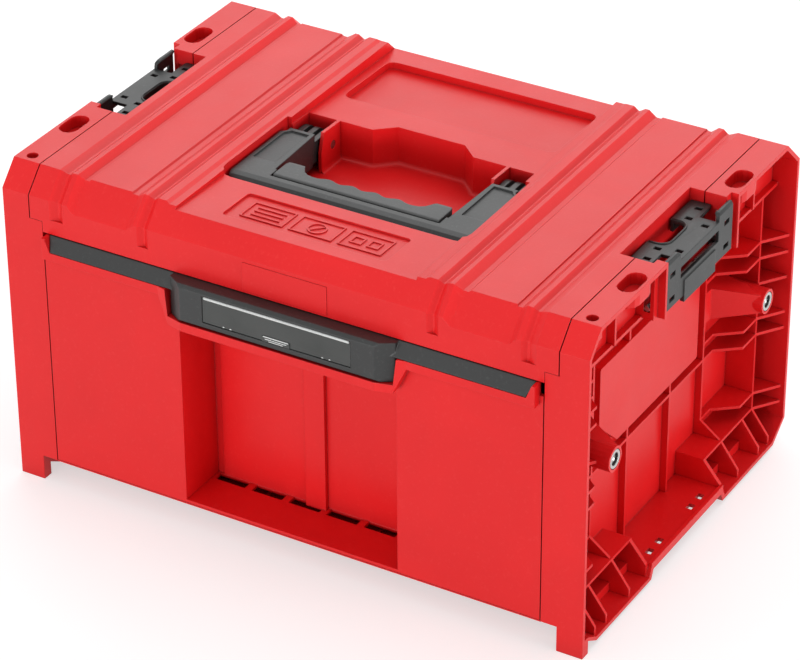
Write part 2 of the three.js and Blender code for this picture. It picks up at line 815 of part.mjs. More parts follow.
// Threaded inserts, just below the rim in the four side bosses.
function threadedInsert() {
  const { radius, bore, length, collar, waist } = INSERT;
  return revolve([
    [bore, 0],
    [radius, 0],
    [radius, collar],
    [radius - waist, collar + waist],
    [radius - waist, length],
    [bore, length],
    [bore, 0],
  ]);
}

for (const [side, across] of [["right", 1], ["left", -1]]) {
  for (const [end, along] of [["front", -1], ["rear", 1]]) {
    const insert = add("threaded_insert_" + end + "_" + side, threadedInsert(), steel);
    insert.rotation.z = (Math.PI / 2) * across;
    insert.position.set(across * (HALF_WIDTH - INSERT.sunk), along * INSERT.y, INSERT.z);
  }
}

// The cover's outline seen from the side. An inset outline is the hollow in it.
function coverOutline(inset) {
  const slack = inset * BEVEL_SHARE;
  const front = FRONT + inset;
  const rear = REAR - inset;
  const top = TOP - inset;
  const drop = inset ? OVERRUN : 0;
  return [
    [front, MEET.headerZ - drop],
    [front, TOP - FRONT_BEVEL.drop - slack],
    [FRONT + FRONT_BEVEL.run + slack, top],
    [REAR - REAR_BEVEL.run - slack, top],
    [rear, TOP - REAR_BEVEL.drop - slack],
    [rear, SHELF_TOP + FIT - drop],
  ];
}

// A strip pressed into the cover. Its corners are (x, depth); growing it gives the wall under it.
function strip(xs, depths, from, grow) {
  const middle = (xs[0] + xs.at(-1)) / 2;
  const floor = xs.map((x, i) => [x + Math.sign(x - middle) * grow, depths[i] ? depths[i] + grow : 0]);
  const section = [[floor[0][0], -OVERRUN], ...floor, [floor.at(-1)[0], -OVERRUN]];
  const path = [
    from,
    [FRONT, TOP - FRONT_BEVEL.drop],
    [FRONT + FRONT_BEVEL.run, TOP],
    [REAR - REAR_BEVEL.run, TOP],
    [REAR + REAR_BEVEL.run / 2, TOP - REAR_BEVEL.drop - REAR_BEVEL.drop / 2],
  ];
  const beyond = [FRONT - FRONT_BEVEL.run / 2, TOP - FRONT_BEVEL.drop - FRONT_BEVEL.drop / 2];
  return sweep(section, from ? path : [beyond, ...path.slice(2)]);
}

function ridges(grow) {
  const { groove, plateau, channel, shelf, grooveEnd } = RIDGE;
  const places = (shares) => shares.map((share) => share * MEET.seamX);
  const foot = [FRONT, grooveEnd - grow];
  const plateauDepths = [0, channel, channel, plateau, plateau, channel, channel, 0];
  const right = [
    strip(places(RIDGE_SHARES.groove), [0, groove, groove, 0], foot, grow),
    strip(places(RIDGE_SHARES.plateau), plateauDepths, null, grow),
    bevelPocket(places(RIDGE_SHARES.plateau), grow),
    strip(places(RIDGE_SHARES.valley), [0, groove, groove, 0], foot, grow),
  ];
  const [rim, floor] = places(RIDGE_SHARES.shelf);
  const shelfOutline = [
    [-rim - grow, TOP],
    [-floor - grow, TOP - shelf - grow],
    [floor + grow, TOP - shelf - grow],
    [rim + grow, TOP],
    [rim + grow, TOP + OVERRUN],
    [-rim - grow, TOP + OVERRUN],
  ];
  const left = right.map((body) => body.mirror([1, 0, 0]));
  return [...right, ...left, prism("y", shelfOutline, FRONT - OVERRUN, REAR + OVERRUN)];
}

// Lowers the front bevel in front of a plateau to the depth of the channels beside it.
function bevelPocket(xs, grow) {
  const { run, drop } = FRONT_BEVEL;
  const slope = drop / run;
  const sunk = (RIDGE.channel + grow) * Math.hypot(1, slope);
  const floor = RIDGE.plateau + grow;
  const rear = FRONT + run + (sunk - floor) / slope;
  const outline = [
    [FRONT - OVERRUN, TOP - drop - sunk - OVERRUN * slope],
    [rear, TOP - floor],
    [rear, TOP + OVERRUN],
    [FRONT - OVERRUN, TOP + OVERRUN],
  ];
  return prism("x", outline, xs.at(-2) - grow, xs[1] + grow);
}

// All that lies above the cover's sloping middle, or above a plane some depth below it.
function aboveField(depth, half = CASE_WIDTH) {
  const { frontDepth, rearDepth } = FIELD;
  const outline = [
    [FRONT, TOP + OVERRUN],
    [FRONT, TOP - frontDepth - depth],
    [REAR, TOP - rearDepth - depth],
    [REAR, TOP + OVERRUN],
  ];
  return prism("x", outline, -half, half);
}

function bowl(grow) {
  const { half, front, shoulder, pocketHalf, rear, slopeX, noseHalf, noseY, floorZ, corner } = BOWL;
  const right = [
    [half + grow, front - grow, corner + grow],
    [half + grow, shoulder + grow],
    [pocketHalf + grow, shoulder + grow],
    [pocketHalf + grow, rear + grow],
    [slopeX + grow, rear + grow],
    [noseHalf + grow, noseY + grow],
  ];
  return prism("z", rounded(mirrorOutline(right)), floorZ - grow, TOP + OVERRUN);
}

// A shallow recess in the sloping middle, whose floor follows the slope.
function recess({ half, front, rear, depth, corner }, grow) {
  const right = [
    [half + grow, front - grow, corner],
    [half + grow, rear + grow, corner],
  ];
  const outline = rounded(mirrorOutline(right));
  return prism("z", outline, MEET.headerZ, TOP + OVERRUN).intersect(aboveField(depth + grow));
}

function topCover() {
  const past = OVERRUN;
  const half = MEET.seamX - SEAM_GAP / 2;
  const outside = prism("x", coverOutline(0), -half, half);
  const shell = cut(outside, prism("x", coverOutline(WALL), -half + THIN_WALL, half - THIN_WALL));
  const pressings = (grow) => [
    ...ridges(grow),
    aboveField(grow, FIELD.half + grow),
    bowl(grow),
    recess(FRONT_FIELD, grow),
    recess(REAR_FIELD, grow),
  ];
  const walls = join(pressings(WALL)).intersect(outside);

  const { x, front, rear } = NOTCH;
  const behind = FRONT + PANEL.pocketDepth + THIN_WALL + FIT;
  const fittings = [];
  const posts = [];
  for (const side of [-1, 1]) {
    const across = (from, to) => ordered(side * from, side * to);
    fittings.push(block(across(x - THIN_WALL, x), [behind, REAR - WALL], [SHELF_TOP + FIT, TOP]));
    for (const end of [front - THIN_WALL, rear]) {
      fittings.push(block(across(x, half), [end, end + THIN_WALL], [SHELF_TOP + FIT, TOP]));
    }
    for (const along of [-1, 1]) {
      const at = [side * COVER_SCREW.x, along * COVER_SCREW.y];
      fittings.push(rod("z", at, COVER_SCREW.post, SHELF_TOP + FIT, TOP - RIB));
    }
    const { post, highZ } = BACK_SCREW;
    const span = centred(side * BACK_SCREW.x, post * 2);
    const [postFront, postRear] = backPost();
    posts.push(block(span, [postFront, postRear], [highZ - post, TOP - REAR_BEVEL.drop]));
    posts.push(block(span, [postRear - RIB, REAR - WALL / 2], [SHELF_TOP + FIT, TOP - REAR_BEVEL.drop]));
  }
  const nose = LATCH.armRear - LATCH.nose - LATCH.noseGap;
  fittings.push(block([-LATCH.half, LATCH.half], [nose - LATCH.keeper, nose], [MEET.headerZ, TOP]));
  const body = join(shell, walls, join(fittings).intersect(outside), posts);

  const cutters = pressings(0);
  for (const side of [-1, 1]) {
    const across = ordered(side * x, side * (half + past));
    cutters.push(block(across, [front, rear], [MEET.headerZ - past, TOP + past]));
    const outer = ordered(side * MEET.openingX, side * (half + past));
    cutters.push(block(outer, [FRONT - past, behind], [0, MEET.stepZ + FIT]));
    cutters.push(block(outer, [FRONT - past, REAR + past], [0, SHELF_TOP + FIT]));
    for (const along of [-1, 1]) {
      const place = [side * COVER_SCREW.x, along * COVER_SCREW.y];
      cutters.push(rod("z", place, holeRadius, 0, SHELF_TOP + FIT + SCREW.length));
    }
    cutters.push(rod("y", [side * BACK_SCREW.x, BACK_SCREW.highZ], holeRadius, REAR - past, REAR));
  }
  const { half: plateHalf, rise, low, high } = NAMEPLATE;
  const plate = block([-plateHalf, plateHalf], [FRONT - rise, FRONT + WALL / 2], [low, high]);
  return cut(join(cut(body, cutters), plate, ears(), frames()), hingeHoles());
}

// Ears beside the well, which hold the handle's pins, and the three raised frames.
function ears() {
  const { x, width, front, bevel } = EAR;
  const rear = BOWL.rear + WALL;
  const outline = [
    [front, BOWL.floorZ - WALL / 2],
    [rear, BOWL.floorZ - WALL / 2],
    [rear, TOP],
    [front + bevel, TOP],
    [front, HINGE.z],
  ];
  const ear = cut(prism("x", outline, x, x + width), aboveField(0));
  return join(ear, ear.mirror([1, 0, 0]));
}

function frames() {
  const { x, pitch, count, half, front, rear, line, rise } = FRAME;
  const rings = [];
  for (let i = 0; i < count; i++) {
    const middle = x + (i - (count - 1) / 2) * pitch;
    const low = TOP - FRONT_FIELD.depth - WALL * 2;
    const ring = cut(
      block(centred(middle, half * 2), [front, rear], [low, TOP]),
      block(centred(middle, (half - line) * 2), [front + line, rear - line], [low, TOP]),
    );
    rings.push(ring, sign(i, middle, (front + rear) / 2, low));
  }
  return cut(join(rings), aboveField(FRONT_FIELD.depth - rise));
}

// A generic sign inside a frame.
function sign(kind, x, y, low) {
  const { bars, barHalf, barPitch, line, ring, blockHalf, blockPitch } = SIGN;
  if (kind === 0) {
    const rows = [];
    for (let i = 0; i < bars; i++) {
      const row = y + (i - (bars - 1) / 2) * barPitch;
      rows.push(block([x - barHalf, x + barHalf], centred(row, line), [low, TOP]));
    }
    return join(rows);
  }
  if (kind === 1) {
    const reach = ring * Math.SQRT1_2;
    const slash = [
      [x - reach, y - reach],
      [x - reach + line, y - reach],
      [x + reach, y + reach],
      [x + reach - line, y + reach],
    ];
    const inside = rod("z", [x, y], ring - line, low - OVERRUN, TOP + OVERRUN);
    return join(cut(rod("z", [x, y], ring, low, TOP), inside), prism("z", slash, low, TOP));
  }
  const squares = [-1, 1].map((side) => {
    const middle = x + (side * blockPitch) / 2;
    const square = (half, from, to) => block(centred(middle, half * 2), centred(y, half * 2), [from, to]);
    return cut(square(blockHalf, low, TOP), square(blockHalf - line, low - OVERRUN, TOP + OVERRUN));
  });
  return join(squares);
}

function hingeHoles() {
  const end = BOWL.pocketHalf + WALL / 2;
  const hole = rod("x", [HINGE.y, HINGE.z], HINGE.pin + FIT, EAR.x - WALL, end);
  return join(hole, hole.mirror([1, 0, 0]));
}

add("top_cover", topCover(), red);

// The base plate, with a sloping front lip.
function basePlate() {
  const { ledgeZ, pocketDepth, innerX } = PANEL;
  const half = innerX - FIT;
  const wide = MEET.openingX;
  const pocketY = FRONT + pocketDepth - FIT;
  const lipY = FRONT + WALL;
  const outline = [
    [FRONT, MEET.sillZ],
    [FRONT, MEET.sillZ - WALL / 3],
    [FRONT + pocketDepth - WALL, ledgeZ],
    [REAR, ledgeZ],
    [REAR, ledgeZ + WALL],
    [FRONT + pocketDepth, ledgeZ + WALL],
    [lipY, MEET.sillZ],
  ];
  let plate = prism("x", outline, -wide, wide);
  for (const side of [-1, 1]) {
    const beside = ordered(side * half, side * (wide + OVERRUN));
    plate = cut(plate, block(beside, [pocketY, REAR], [0, MEET.sillZ]));
  }
  const { count, pitch, height } = BASE_RIB;
  const ribs = [];
  for (let i = 0; i < count; i++) {
    const x = (i - (count - 1) / 2) * pitch;
    const along = [FRONT + pocketDepth, REAR - WALL - FIT];
    ribs.push(block(centred(x, RIB), along, [ledgeZ + WALL / 2, ledgeZ + WALL + height]));
  }
  const { x, lowZ, post } = BACK_SCREW;
  const tools = [];
  for (const side of [-1, 1]) {
    ribs.push(block(centred(side * x, post * 2), backPost(), [ledgeZ + WALL / 2, lowZ + post]));
    tools.push(rod("y", [side * x, lowZ], holeRadius, REAR - OVERRUN, REAR));
    for (const end of [-1, 1]) {
      tools.push(rod("z", [side * BASE_SCREW.x, end * BASE_SCREW.y], holeRadius, 0, MEET.sillZ));
    }
  }
  return cut(join(plate, ribs), tools);
}

// How far from the rear the posts behind the back panel lie.
function backPost() {
  const rear = REAR - BACK_SCREW.pad - WALL - FIT;
  return [rear - BACK_SCREW.reach, rear];
}

// The back panel, with pads around its countersunk screws and ribs across its inner side.
function backPanel() {
  const { x, lowZ, highZ, boss, pad } = BACK_SCREW;
  const half = PANEL.innerX - FIT;
  const low = PANEL.ledgeZ + WALL + FIT;
  const panel = block([-half, half], [REAR - WALL, REAR], [low, SHELF_TOP]);
  const { count, pitch, height, margin } = BACK_RIB;
  const ribs = [];
  for (let i = 0; i < count; i++) {
    const middle = (i - (count - 1) / 2) * pitch;
    const depth = [REAR - WALL - height, REAR - WALL / 2];
    ribs.push(block(centred(middle, RIB), depth, [low + margin, SHELF_TOP - margin]));
  }
  const tools = [];
  for (const side of [-1, 1]) {
    for (const z of [lowZ, highZ]) {
      ribs.push(rod("y", [side * x, z], boss, REAR - WALL - pad, REAR - WALL / 2));
      tools.push(rod("y", [side * x, z], holeRadius, 0, REAR));
      tools.push(rod("y", [side * x, z], SCREW.head + FIT, REAR - SCREW.headHeight - FIT, REAR + OVERRUN));
    }
  }
  return cut(join(panel, ribs), tools);
}

add("base_plate", basePlate(), red);
add("back_panel", backPanel(), red);

for (const [side, across] of [["right", 1], ["left", -1]]) {
  for (const [end, along] of [["front", -1], ["rear", 1]]) {
    const name = end + "_" + side;
    addScrew("base_screw_" + name, [across * BASE_SCREW.x, along * BASE_SCREW.y, PANEL.ledgeZ - FIT], up);
    addScrew("cover_screw_" + name, [across * COVER_SCREW.x, along * COVER_SCREW.y, PANEL.shelfZ - FIT], up);
  }
  const seat = REAR - SCREW.headHeight - FIT / 2;
  for (const [level, z] of [["lower", BACK_SCREW.lowZ], ["upper", BACK_SCREW.highZ]]) {
    addScrew("back_screw_" + level + "_" + side, [across * BACK_SCREW.x, seat, z], outwards.clone().negate());
  }
}

// Ball slides: a channel on the panel, a smaller one on the drawer, and a cage of balls between them.
const BIN_HALF = PANEL.innerX - BIN.sideGap;
const outerWebX = PANEL.innerX - FIT;
const innerHeight = SLIDE.height - (SLIDE.sheet + SLIDE.ball * 2 + FIT * 2) * 2;
const cageX = outerWebX - SLIDE.sheet - FIT * 2;
const cageHalf = SLIDE.height / 2 - SLIDE.sheet - FIT - SLIDE.ball;

// A channel section: its web at x, its flanges reaching to the other x.
function channel(webX, flangeX, height, sheet, [front, rear]) {
  const inside = webX + Math.sign(flangeX - webX) * sheet;
  const outline = [
    [webX, -height / 2],
    [webX, height / 2],
    [flangeX, height / 2],
    [flangeX, height / 2 - sheet],
    [inside, height / 2 - sheet],
    [inside, sheet - height / 2],
    [flangeX, sheet - height / 2],
    [flangeX, -height / 2],
  ].map(([x, z]) => [x, z + SLIDE.z]);
  return prism("y", outline, front, rear);
}

// Two rivet studs that seat a slide member in its wall.
function studs(from, to) {
  return [-1, 1].map((side) => rod("x", [side * STUD.y, SLIDE.z], STUD.radius, ...ordered(from, to)));
}

const slideLength = [SLIDE.front, SLIDE.rear];
const innerWebX = BIN_HALF + FIT;
const cabinetMember = channel(outerWebX, outerWebX - SLIDE.flange, SLIDE.height, SLIDE.sheet, slideLength);
const drawerMember = channel(innerWebX, cageX - SLIDE.sheet, innerHeight, SLIDE.sheet, slideLength);
const cageFlangeX = cageX - CAGE.ballX - SLIDE.cageSheet;
const cageHeight = cageHalf * 2 + SLIDE.cageSheet;
const cage = channel(cageX, cageFlangeX, cageHeight, SLIDE.cageSheet, [CAGE.front, CAGE.rear]);
const ballBodies = [];
for (let i = 0; i < CAGE.balls; i++) {
  const y = THREE.MathUtils.lerp(CAGE.front, CAGE.rear, (i + 0.5) / CAGE.balls);
  for (const side of [-1, 1]) {
    const ball = new THREE.SphereGeometry(SLIDE.ball, 6, 4);
    ball.translate(cageX - CAGE.ballX + SLIDE.ball / 2, y, SLIDE.z + side * cageHalf);
    ballBodies.push(solid(ball));
  }
}
const webHalf = THIN_WALL - FIT;
addPair("slide_outer", join(cabinetMember, studs(outerWebX - SLIDE.sheet / 2, outerWebX + webHalf)), zinc);
addPair("slide_inner", join(drawerMember, studs(innerWebX + SLIDE.sheet / 2, innerWebX - webHalf)), zinc);
addPair("ball_cage", join(cage, ballBodies), steel);

// The drawer's bin, folded back around the recess in the drawer's front.
const nookY = FRONT + DRAWER.recessDepth + DRAWER.wall + BIN.nookGap;
const nookHalf = DRAWER.recessHalf + DRAWER.wall + BIN.nookGap / 2;

function binOutline(inset) {
  return mirrorOutline([
    [BIN_HALF - inset, BIN.rear - inset],
    [BIN_HALF - inset, BIN.front + inset],
    [nookHalf + inset, BIN.front + inset],
    [nookHalf + inset, nookY + inset],
  ]);
}

const frontScrewPlaces = [];
for (const [side, across] of [["right", 1], ["left", -1]]) {
  for (const [level, z] of [["lower", FRONT_SCREW.lowZ], ["upper", FRONT_SCREW.highZ]]) {
    frontScrewPlaces.push({ name: level + "_" + side, x: across * FRONT_SCREW.x, z });
  }
}
const frontScrewHead = BIN.front + THIN_WALL + FIT;
const frontScrewHoles = frontScrewPlaces.map(({ x, z }) => {
  return rod("y", [x, z], holeRadius, frontScrewHead - FRONT_SCREW.length - FIT, frontScrewHead);
});

function drawerBin() {
  const outer = prism("z", binOutline(0), BIN.bottom, BIN.top);
  const hollow = prism("z", binOutline(THIN_WALL), BIN.bottom + THIN_WALL, BIN.top + OVERRUN);
  const rims = [-1, 1].map((side) => {
    const span = ordered(side * (BIN_HALF - RIB), side * (BIN_HALF + BIN.rim));
    return block(span, [BIN.front, BIN.rear], [BIN.top - THIN_WALL, BIN.top]);
  });
  const holes = [-1, 1].map((side) => {
    const span = ordered(side * (BIN_HALF - WALL), side * (BIN_HALF + WALL));
    return [-1, 1].map((end) => rod("x", [end * STUD.y, SLIDE.z], STUD.radius + FIT, ...span));
  });
  return cut(join(outer, rims), hollow, holes.flat(), frontScrewHoles);
}

add("drawer_bin", drawerBin(), darkGrey);

// The drawer's front: a panel with a deep recess, under a hood that carries the grip bar.
function drawerFront() {
  const { half, thick, bottom, recessHalf, recessTop, recessDepth, wall } = DRAWER;
  const top = GRIP_BAR.wingLow - FIT;
  const back = FRONT + thick;
  const recessRear = FRONT + recessDepth;
  const panel = join(
    block([-half, half], [FRONT, back], [bottom, top]),
    block([-recessHalf - wall, recessHalf + wall], [FRONT, recessRear + wall], [bottom, recessTop + wall]),
  );
  const pocket = block([-recessHalf, recessHalf], [FRONT - OVERRUN, recessRear], [bottom + wall, recessTop]);

  // Slots in the floor of the recess, a shallow step in its rear wall, and the lever's way through its roof.
  const { slots, slotX, slotPitch, slotLength, slotDepth, stepX } = DRAWER;
  const pockets = [pocket];
  for (let i = 0; i < slots; i++) {
    const x = slotX + (i - (slots - 1) / 2) * slotPitch;
    const depth = [recessRear - slotDepth, recessRear - FIT];
    pockets.push(block(centred(x, slotLength), depth, [0, bottom + wall * 2]));
  }
  pockets.push(block([-recessHalf, -stepX], [recessRear, recessRear + wall / 2], [bottom + wall, recessTop]));
  const lever = LATCH.half + FIT * 2;
  const leverWay = [back, LATCH.pivotY + LATCH.thick];
  pockets.push(block([-lever, lever], leverWay, [recessTop - wall, recessTop + wall * 2]));

  const { ribX, ribHalf, ribRise } = DRAWER;
  const ribDepth = [recessRear - ribRise, recessRear + wall / 2];
  const ribLevel = [bottom + wall / 2, recessTop + wall / 2];
  const fittings = [hood(top), block([ribX - ribHalf, ribX + ribHalf], ribDepth, ribLevel)];
  frontScrewPlaces.forEach(({ x, z }) => {
    fittings.push(rod("y", [x, z], FRONT_SCREW.boss, FRONT + thick / 2, BIN.front - FIT));
  });
  const { cheek, cheekRear, cheekTop, pivotY, pivotZ, pin } = LATCH;
  for (const side of [-1, 1]) {
    const span = ordered(side * lever, side * (lever + cheek));
    fittings.push(block(span, [FRONT + thick / 2, cheekRear], [recessTop + wall / 2, cheekTop]));
  }
  const above = block([-half, half], [FRONT - OVERRUN, back], [top, cheekTop + OVERRUN]);
  const pinHole = rod("x", [pivotY, pivotZ], pin + FIT, -half, half);
  const front = cut(join(cut(panel, pockets), fittings), above, pinHole, frontScrewHoles);
  return join(front, hoodEnd(), hoodEnd().mirror([1, 0, 0]));
}

function hood(top) {
  const { half, wingLow, middleHalf, slantHalf, middleLow } = HOOD;
  const faceHigh = mirrorOutline([
    [half, top],
    [half, wingLow],
    [slantHalf, wingLow],
    [middleHalf, middleLow],
  ]);
  const barRoom = mirrorOutline([
    [middleHalf + FIT, GRIP_BAR.middleLow - FIT],
    [(slantHalf + middleHalf) / 2, top + OVERRUN],
  ]);
  const plan = mirrorOutline([
    [half, FRONT + WALL / 2],
    [half, FRONT - GRIP_BAR.wingOut],
    [slantHalf, FRONT - GRIP_BAR.wingOut],
    [GRIP_BAR.middleHalf, FRONT - GRIP_BAR.middleOut],
  ]);
  const sheet = prism("y", faceHigh, FRONT - OVERRUN, FRONT + WALL / 2);
  return cut(sheet, prism("y", barRoom, FRONT - OVERRUN, FRONT)).intersect(prism("z", plan, 0, TOP));
}

// The hood turns up beside each slanting end of the bar.
function hoodEnd() {
  const { end, slant, top, wingLow, wingOut } = GRIP_BAR;
  const outline = [
    [HOOD.half, HOOD.wingLow],
    [HOOD.half, top],
    [end + FIT, top],
    [end - slant + FIT, wingLow - FIT],
    [end - slant + FIT, HOOD.wingLow],
  ];
  return prism("y", outline, FRONT - wingOut, FRONT + WALL / 2);
}

add("drawer_front", drawerFront(), red);
for (const { name, x, z } of frontScrewPlaces) {
  addScrew("front_screw_" + name, [x, frontScrewHead, z], outwards.clone().negate(), FRONT_SCREW.length);
}

// The grip bar: two thin wings and a bold middle with a recess for the label window.
function gripBar() {
  const { end, slant, top, wingLow, wingOut, wingTopOut, tail } = GRIP_BAR;
  const wingSection = [
    [FRONT + tail, top],
    [FRONT - wingTopOut, top],
    [FRONT - wingOut, wingLow],
    [FRONT + tail, wingLow],
  ];
  const wingFace = mirrorOutline([[end, top], [end - slant, wingLow]]);
  const wings = prism("x", wingSection, -end, end).intersect(prism("y", wingFace, FRONT - OVERRUN, REAR));

  const { middleLow, middleOut, middleHalf, middleBase, middleBaseOut, edge, shell } = GRIP_BAR;
  const seat = FRONT - FIT;
  const plan = mirrorOutline([
    [middleBase, seat],
    [middleBase, FRONT - middleBaseOut],
    [middleHalf, FRONT - middleOut],
  ]);
  const face = FRONT - middleOut;
  const profile = [
    [seat, middleLow],
    [face + edge, middleLow],
    [face, middleLow + edge],
    [face, top - edge],
    [face + edge, top],
    [seat, top],
  ];
  const middle = prism("z", plan, middleLow, top).intersect(prism("x", profile, -middleBase, middleBase));
  const hollowHalf = middleHalf - shell / 2;
  const hollowLevel = [middleLow + shell, wingLow - shell];
  const hollow = block([-hollowHalf, hollowHalf], [face + shell, FRONT], hollowLevel);
  const { half, low, hingeZ, recess, bead } = LABEL;
  const roomLevel = [low - FIT, hingeZ + bead + FIT];
  const room = block([-half - FIT, half + FIT], [face - OVERRUN, face + recess], roomLevel);
  return cut(join(wings, middle), hollow, room);
}

add("drawer_grip_bar", gripBar(), darkGrey);

// The label window, hinged on a bead along its upper edge.
const labelY = FRONT - GRIP_BAR.middleOut + LABEL.recess / 2;
function labelWindow() {
  const { half, low, hingeZ, thick, bead, tabHalf, tabHigh } = LABEL;
  const face = FRONT - GRIP_BAR.middleOut;
  return join(
    block([-half, half], centred(labelY, thick), [low, hingeZ]),
    rod("x", [labelY, hingeZ], bead, -half, half),
    block([-tabHalf, tabHalf], [face, labelY], [low, tabHigh]),
  );
}

add("label_window", labelWindow(), smoke);

// The latch: a lever behind the bar. Its lower pad is pulled, and its rear nose drops below the cover.
function latchLever() {
  const { half, pivotY, pivotZ, hub, thick, padLow, armRear, nose, noseGap, pin } = LATCH;
  const padFront = pivotY - thick / 2;
  const outline = [
    [padFront, pivotZ],
    [padFront, padLow],
    [padFront + thick, padLow],
    [padFront + thick, pivotZ - hub],
    [armRear, pivotZ],
    [armRear, pivotZ + hub],
    [armRear - nose / 2, MEET.headerZ - noseGap],
    [armRear - nose, MEET.headerZ - noseGap],
    [armRear - nose, pivotZ + hub],
    [pivotY, pivotZ + hub],
  ];
  const body = join(prism("x", outline, -half, half), rod("x", [pivotY, pivotZ], hub, -half, half));
  const spring = (SPRING.turns * SPRING.pitch) / 2 + SPRING.radius;
  return cut(
    body,
    rod("x", [pivotY, pivotZ], pin + FIT, -half - OVERRUN, half + OVERRUN),
    rod("x", [pivotY, pivotZ], hub + FIT * 2, -spring, spring),
  );
}

// The lever's return spring, coiled around its pin.
class Coil extends THREE.Curve {
  getPoint(t) {
    const { turns, radius, pitch } = SPRING;
    const turn = t * turns * Math.PI * 2;
    return new THREE.Vector3(
      (t - 0.5) * turns * pitch,
      LATCH.pivotY + Math.cos(turn) * radius,
      LATCH.pivotZ + Math.sin(turn) * radius,
    );
  }
}

function latchSpring() {
  const { turns, wire, steps, sides } = SPRING;
  const section = new THREE.Shape();
  for (let i = 0; i < sides; i++) {
    const turn = (i / sides) * Math.PI * 2;
    if (i) section.lineTo(Math.cos(turn) * wire, Math.sin(turn) * wire);
    else section.moveTo(wire, 0);
  }
  return solid(new THREE.ExtrudeGeometry(section, { steps: turns * steps, extrudePath: new Coil() }));
}

add("latch_lever", latchLever(), darkGrey);
add("latch_spring", latchSpring(), springSteel);
const pinHalf = LATCH.half + FIT * 2 + LATCH.cheek;
add("latch_pin", rod("x", [LATCH.pivotY, LATCH.pivotZ], LATCH.pin, -pinHalf, pinHalf), steel);

// The carry handle: a bar with an arm at each end, which runs out in a grooved knuckle on its pin.
const armInner = EAR.x + EAR.width + HANDLE.knuckleGap;
const armOuter = BOWL.pocketHalf - HANDLE.knuckleGap;

function carryHandle() {
  const { half, front, top, bottom, corner, edge, armFront, barY, rear, rearSlope, relief } = HANDLE;
  const shoulder = rear - relief - (half - armOuter);
  const outline = mirrorOutline([
    [armOuter, rear + OVERRUN],
    [armOuter, rear - relief],
    [half, shoulder],
    [half, front, corner],
  ]);
  const hollow = mirrorOutline([
    [armInner, rear + OVERRUN],
    [armInner, rear],
    [armFront, barY],
  ]);
  const profile = [
    [front, bottom, edge],
    [rear - rearSlope, bottom],
    [rear, top],
    [front, top, edge * 2],
  ];
  const loop = cut(prism("z", rounded(outline), bottom, top), prism("z", hollow, 0, TOP));
  const bent = loop.intersect(prism("x", rounded(profile), -half, half));

  const { knuckleRadius, neckBottom, bars, barGap, barDepth } = HANDLE;
  const neck = [
    [rear - knuckleRadius, neckBottom],
    [HINGE.y, neckBottom],
    [HINGE.y, HINGE.z + knuckleRadius],
    [rear - knuckleRadius / 2, HINGE.z + knuckleRadius],
    [rear - knuckleRadius, HINGE.z + knuckleRadius / 2],
  ];
  const eye = rod("x", [HINGE.y, HINGE.z], knuckleRadius, armInner, armOuter);
  const knuckle = join(prism("x", neck, armInner, armOuter), eye);
  const pitch = (armOuter - armInner + barGap) / bars;
  const grooves = [];
  for (let i = 1; i < bars; i++) {
    const x = armInner + i * pitch;
    const along = [rear + FIT, HINGE.y + knuckleRadius];
    grooves.push(block([x - barGap, x], along, [HINGE.z + knuckleRadius - barDepth, TOP]));
  }

  // A shallow dish in the top of each arm, and the hole for its pin.
  const { inset, insetRim, insetFront } = HANDLE;
  const dish = [
    [armInner + insetRim, insetFront],
    [half - insetRim, insetFront],
    [half - insetRim, shoulder],
    [armOuter - insetRim, rear - insetRim],
    [armInner + insetRim, rear - insetRim],
  ];
  const tools = [
    ...grooves,
    prism("z", dish, top - inset, TOP),
    rod("x", [HINGE.y, HINGE.z], HINGE.pin + FIT, 0, half),
  ];
  const mirrored = (body) => body.mirror([1, 0, 0]);
  return cut(join(bent, knuckle, mirrored(knuckle)), tools, tools.map(mirrored), gripSeat());
}

// The room for the soft pad, which stands clear of the bar in front and at both ends.
function gripSeat() {
  const { half, front, moat, seat } = GRIP;
  return block([-half - moat, half + moat], [front - moat, HANDLE.barY + OVERRUN], [seat - FIT, TOP]);
}

// The soft pad: a horn at each end, and waves for the fingers between them.
function gripPad() {
  const { half, front, waveY, waveHalf, hornY, hornHalf, hornFoot, corner, rootCorner } = GRIP;
  const { top, seat, fingers, wave, edge } = GRIP;
  const horn = [
    [half, front],
    [half, hornY, corner],
    [hornHalf, hornY, corner],
    [hornFoot, waveY - wave, rootCorner],
  ];
  const waves = [];
  const steps = fingers * ROUND.wave;
  for (let i = 0; i <= steps; i++) {
    const share = i / steps;
    waves.push([waveHalf * (1 - 2 * share), waveY - wave * Math.cos(share * fingers * Math.PI * 2)]);
  }
  const otherHorn = horn.map(([x, ...rest]) => [-x, ...rest]).reverse();
  const profile = [
    [front, seat],
    [hornY, seat],
    [hornY, top, edge * 2],
    [front, top, edge],
  ];
  const pad = prism("z", rounded([...horn, ...waves, ...otherHorn]), seat, top);
  return pad.intersect(prism("x", rounded(profile), -half, half));
}

add("carry_handle", carryHandle(), darkGrey);
add("handle_grip", gripPad(), softGrey);
const handlePin = rod("x", [HINGE.y, HINGE.z], HINGE.pin, EAR.x + FIT, BOWL.pocketHalf + WALL / 2 - FIT);
addPair("handle_pin", handlePin, steel);

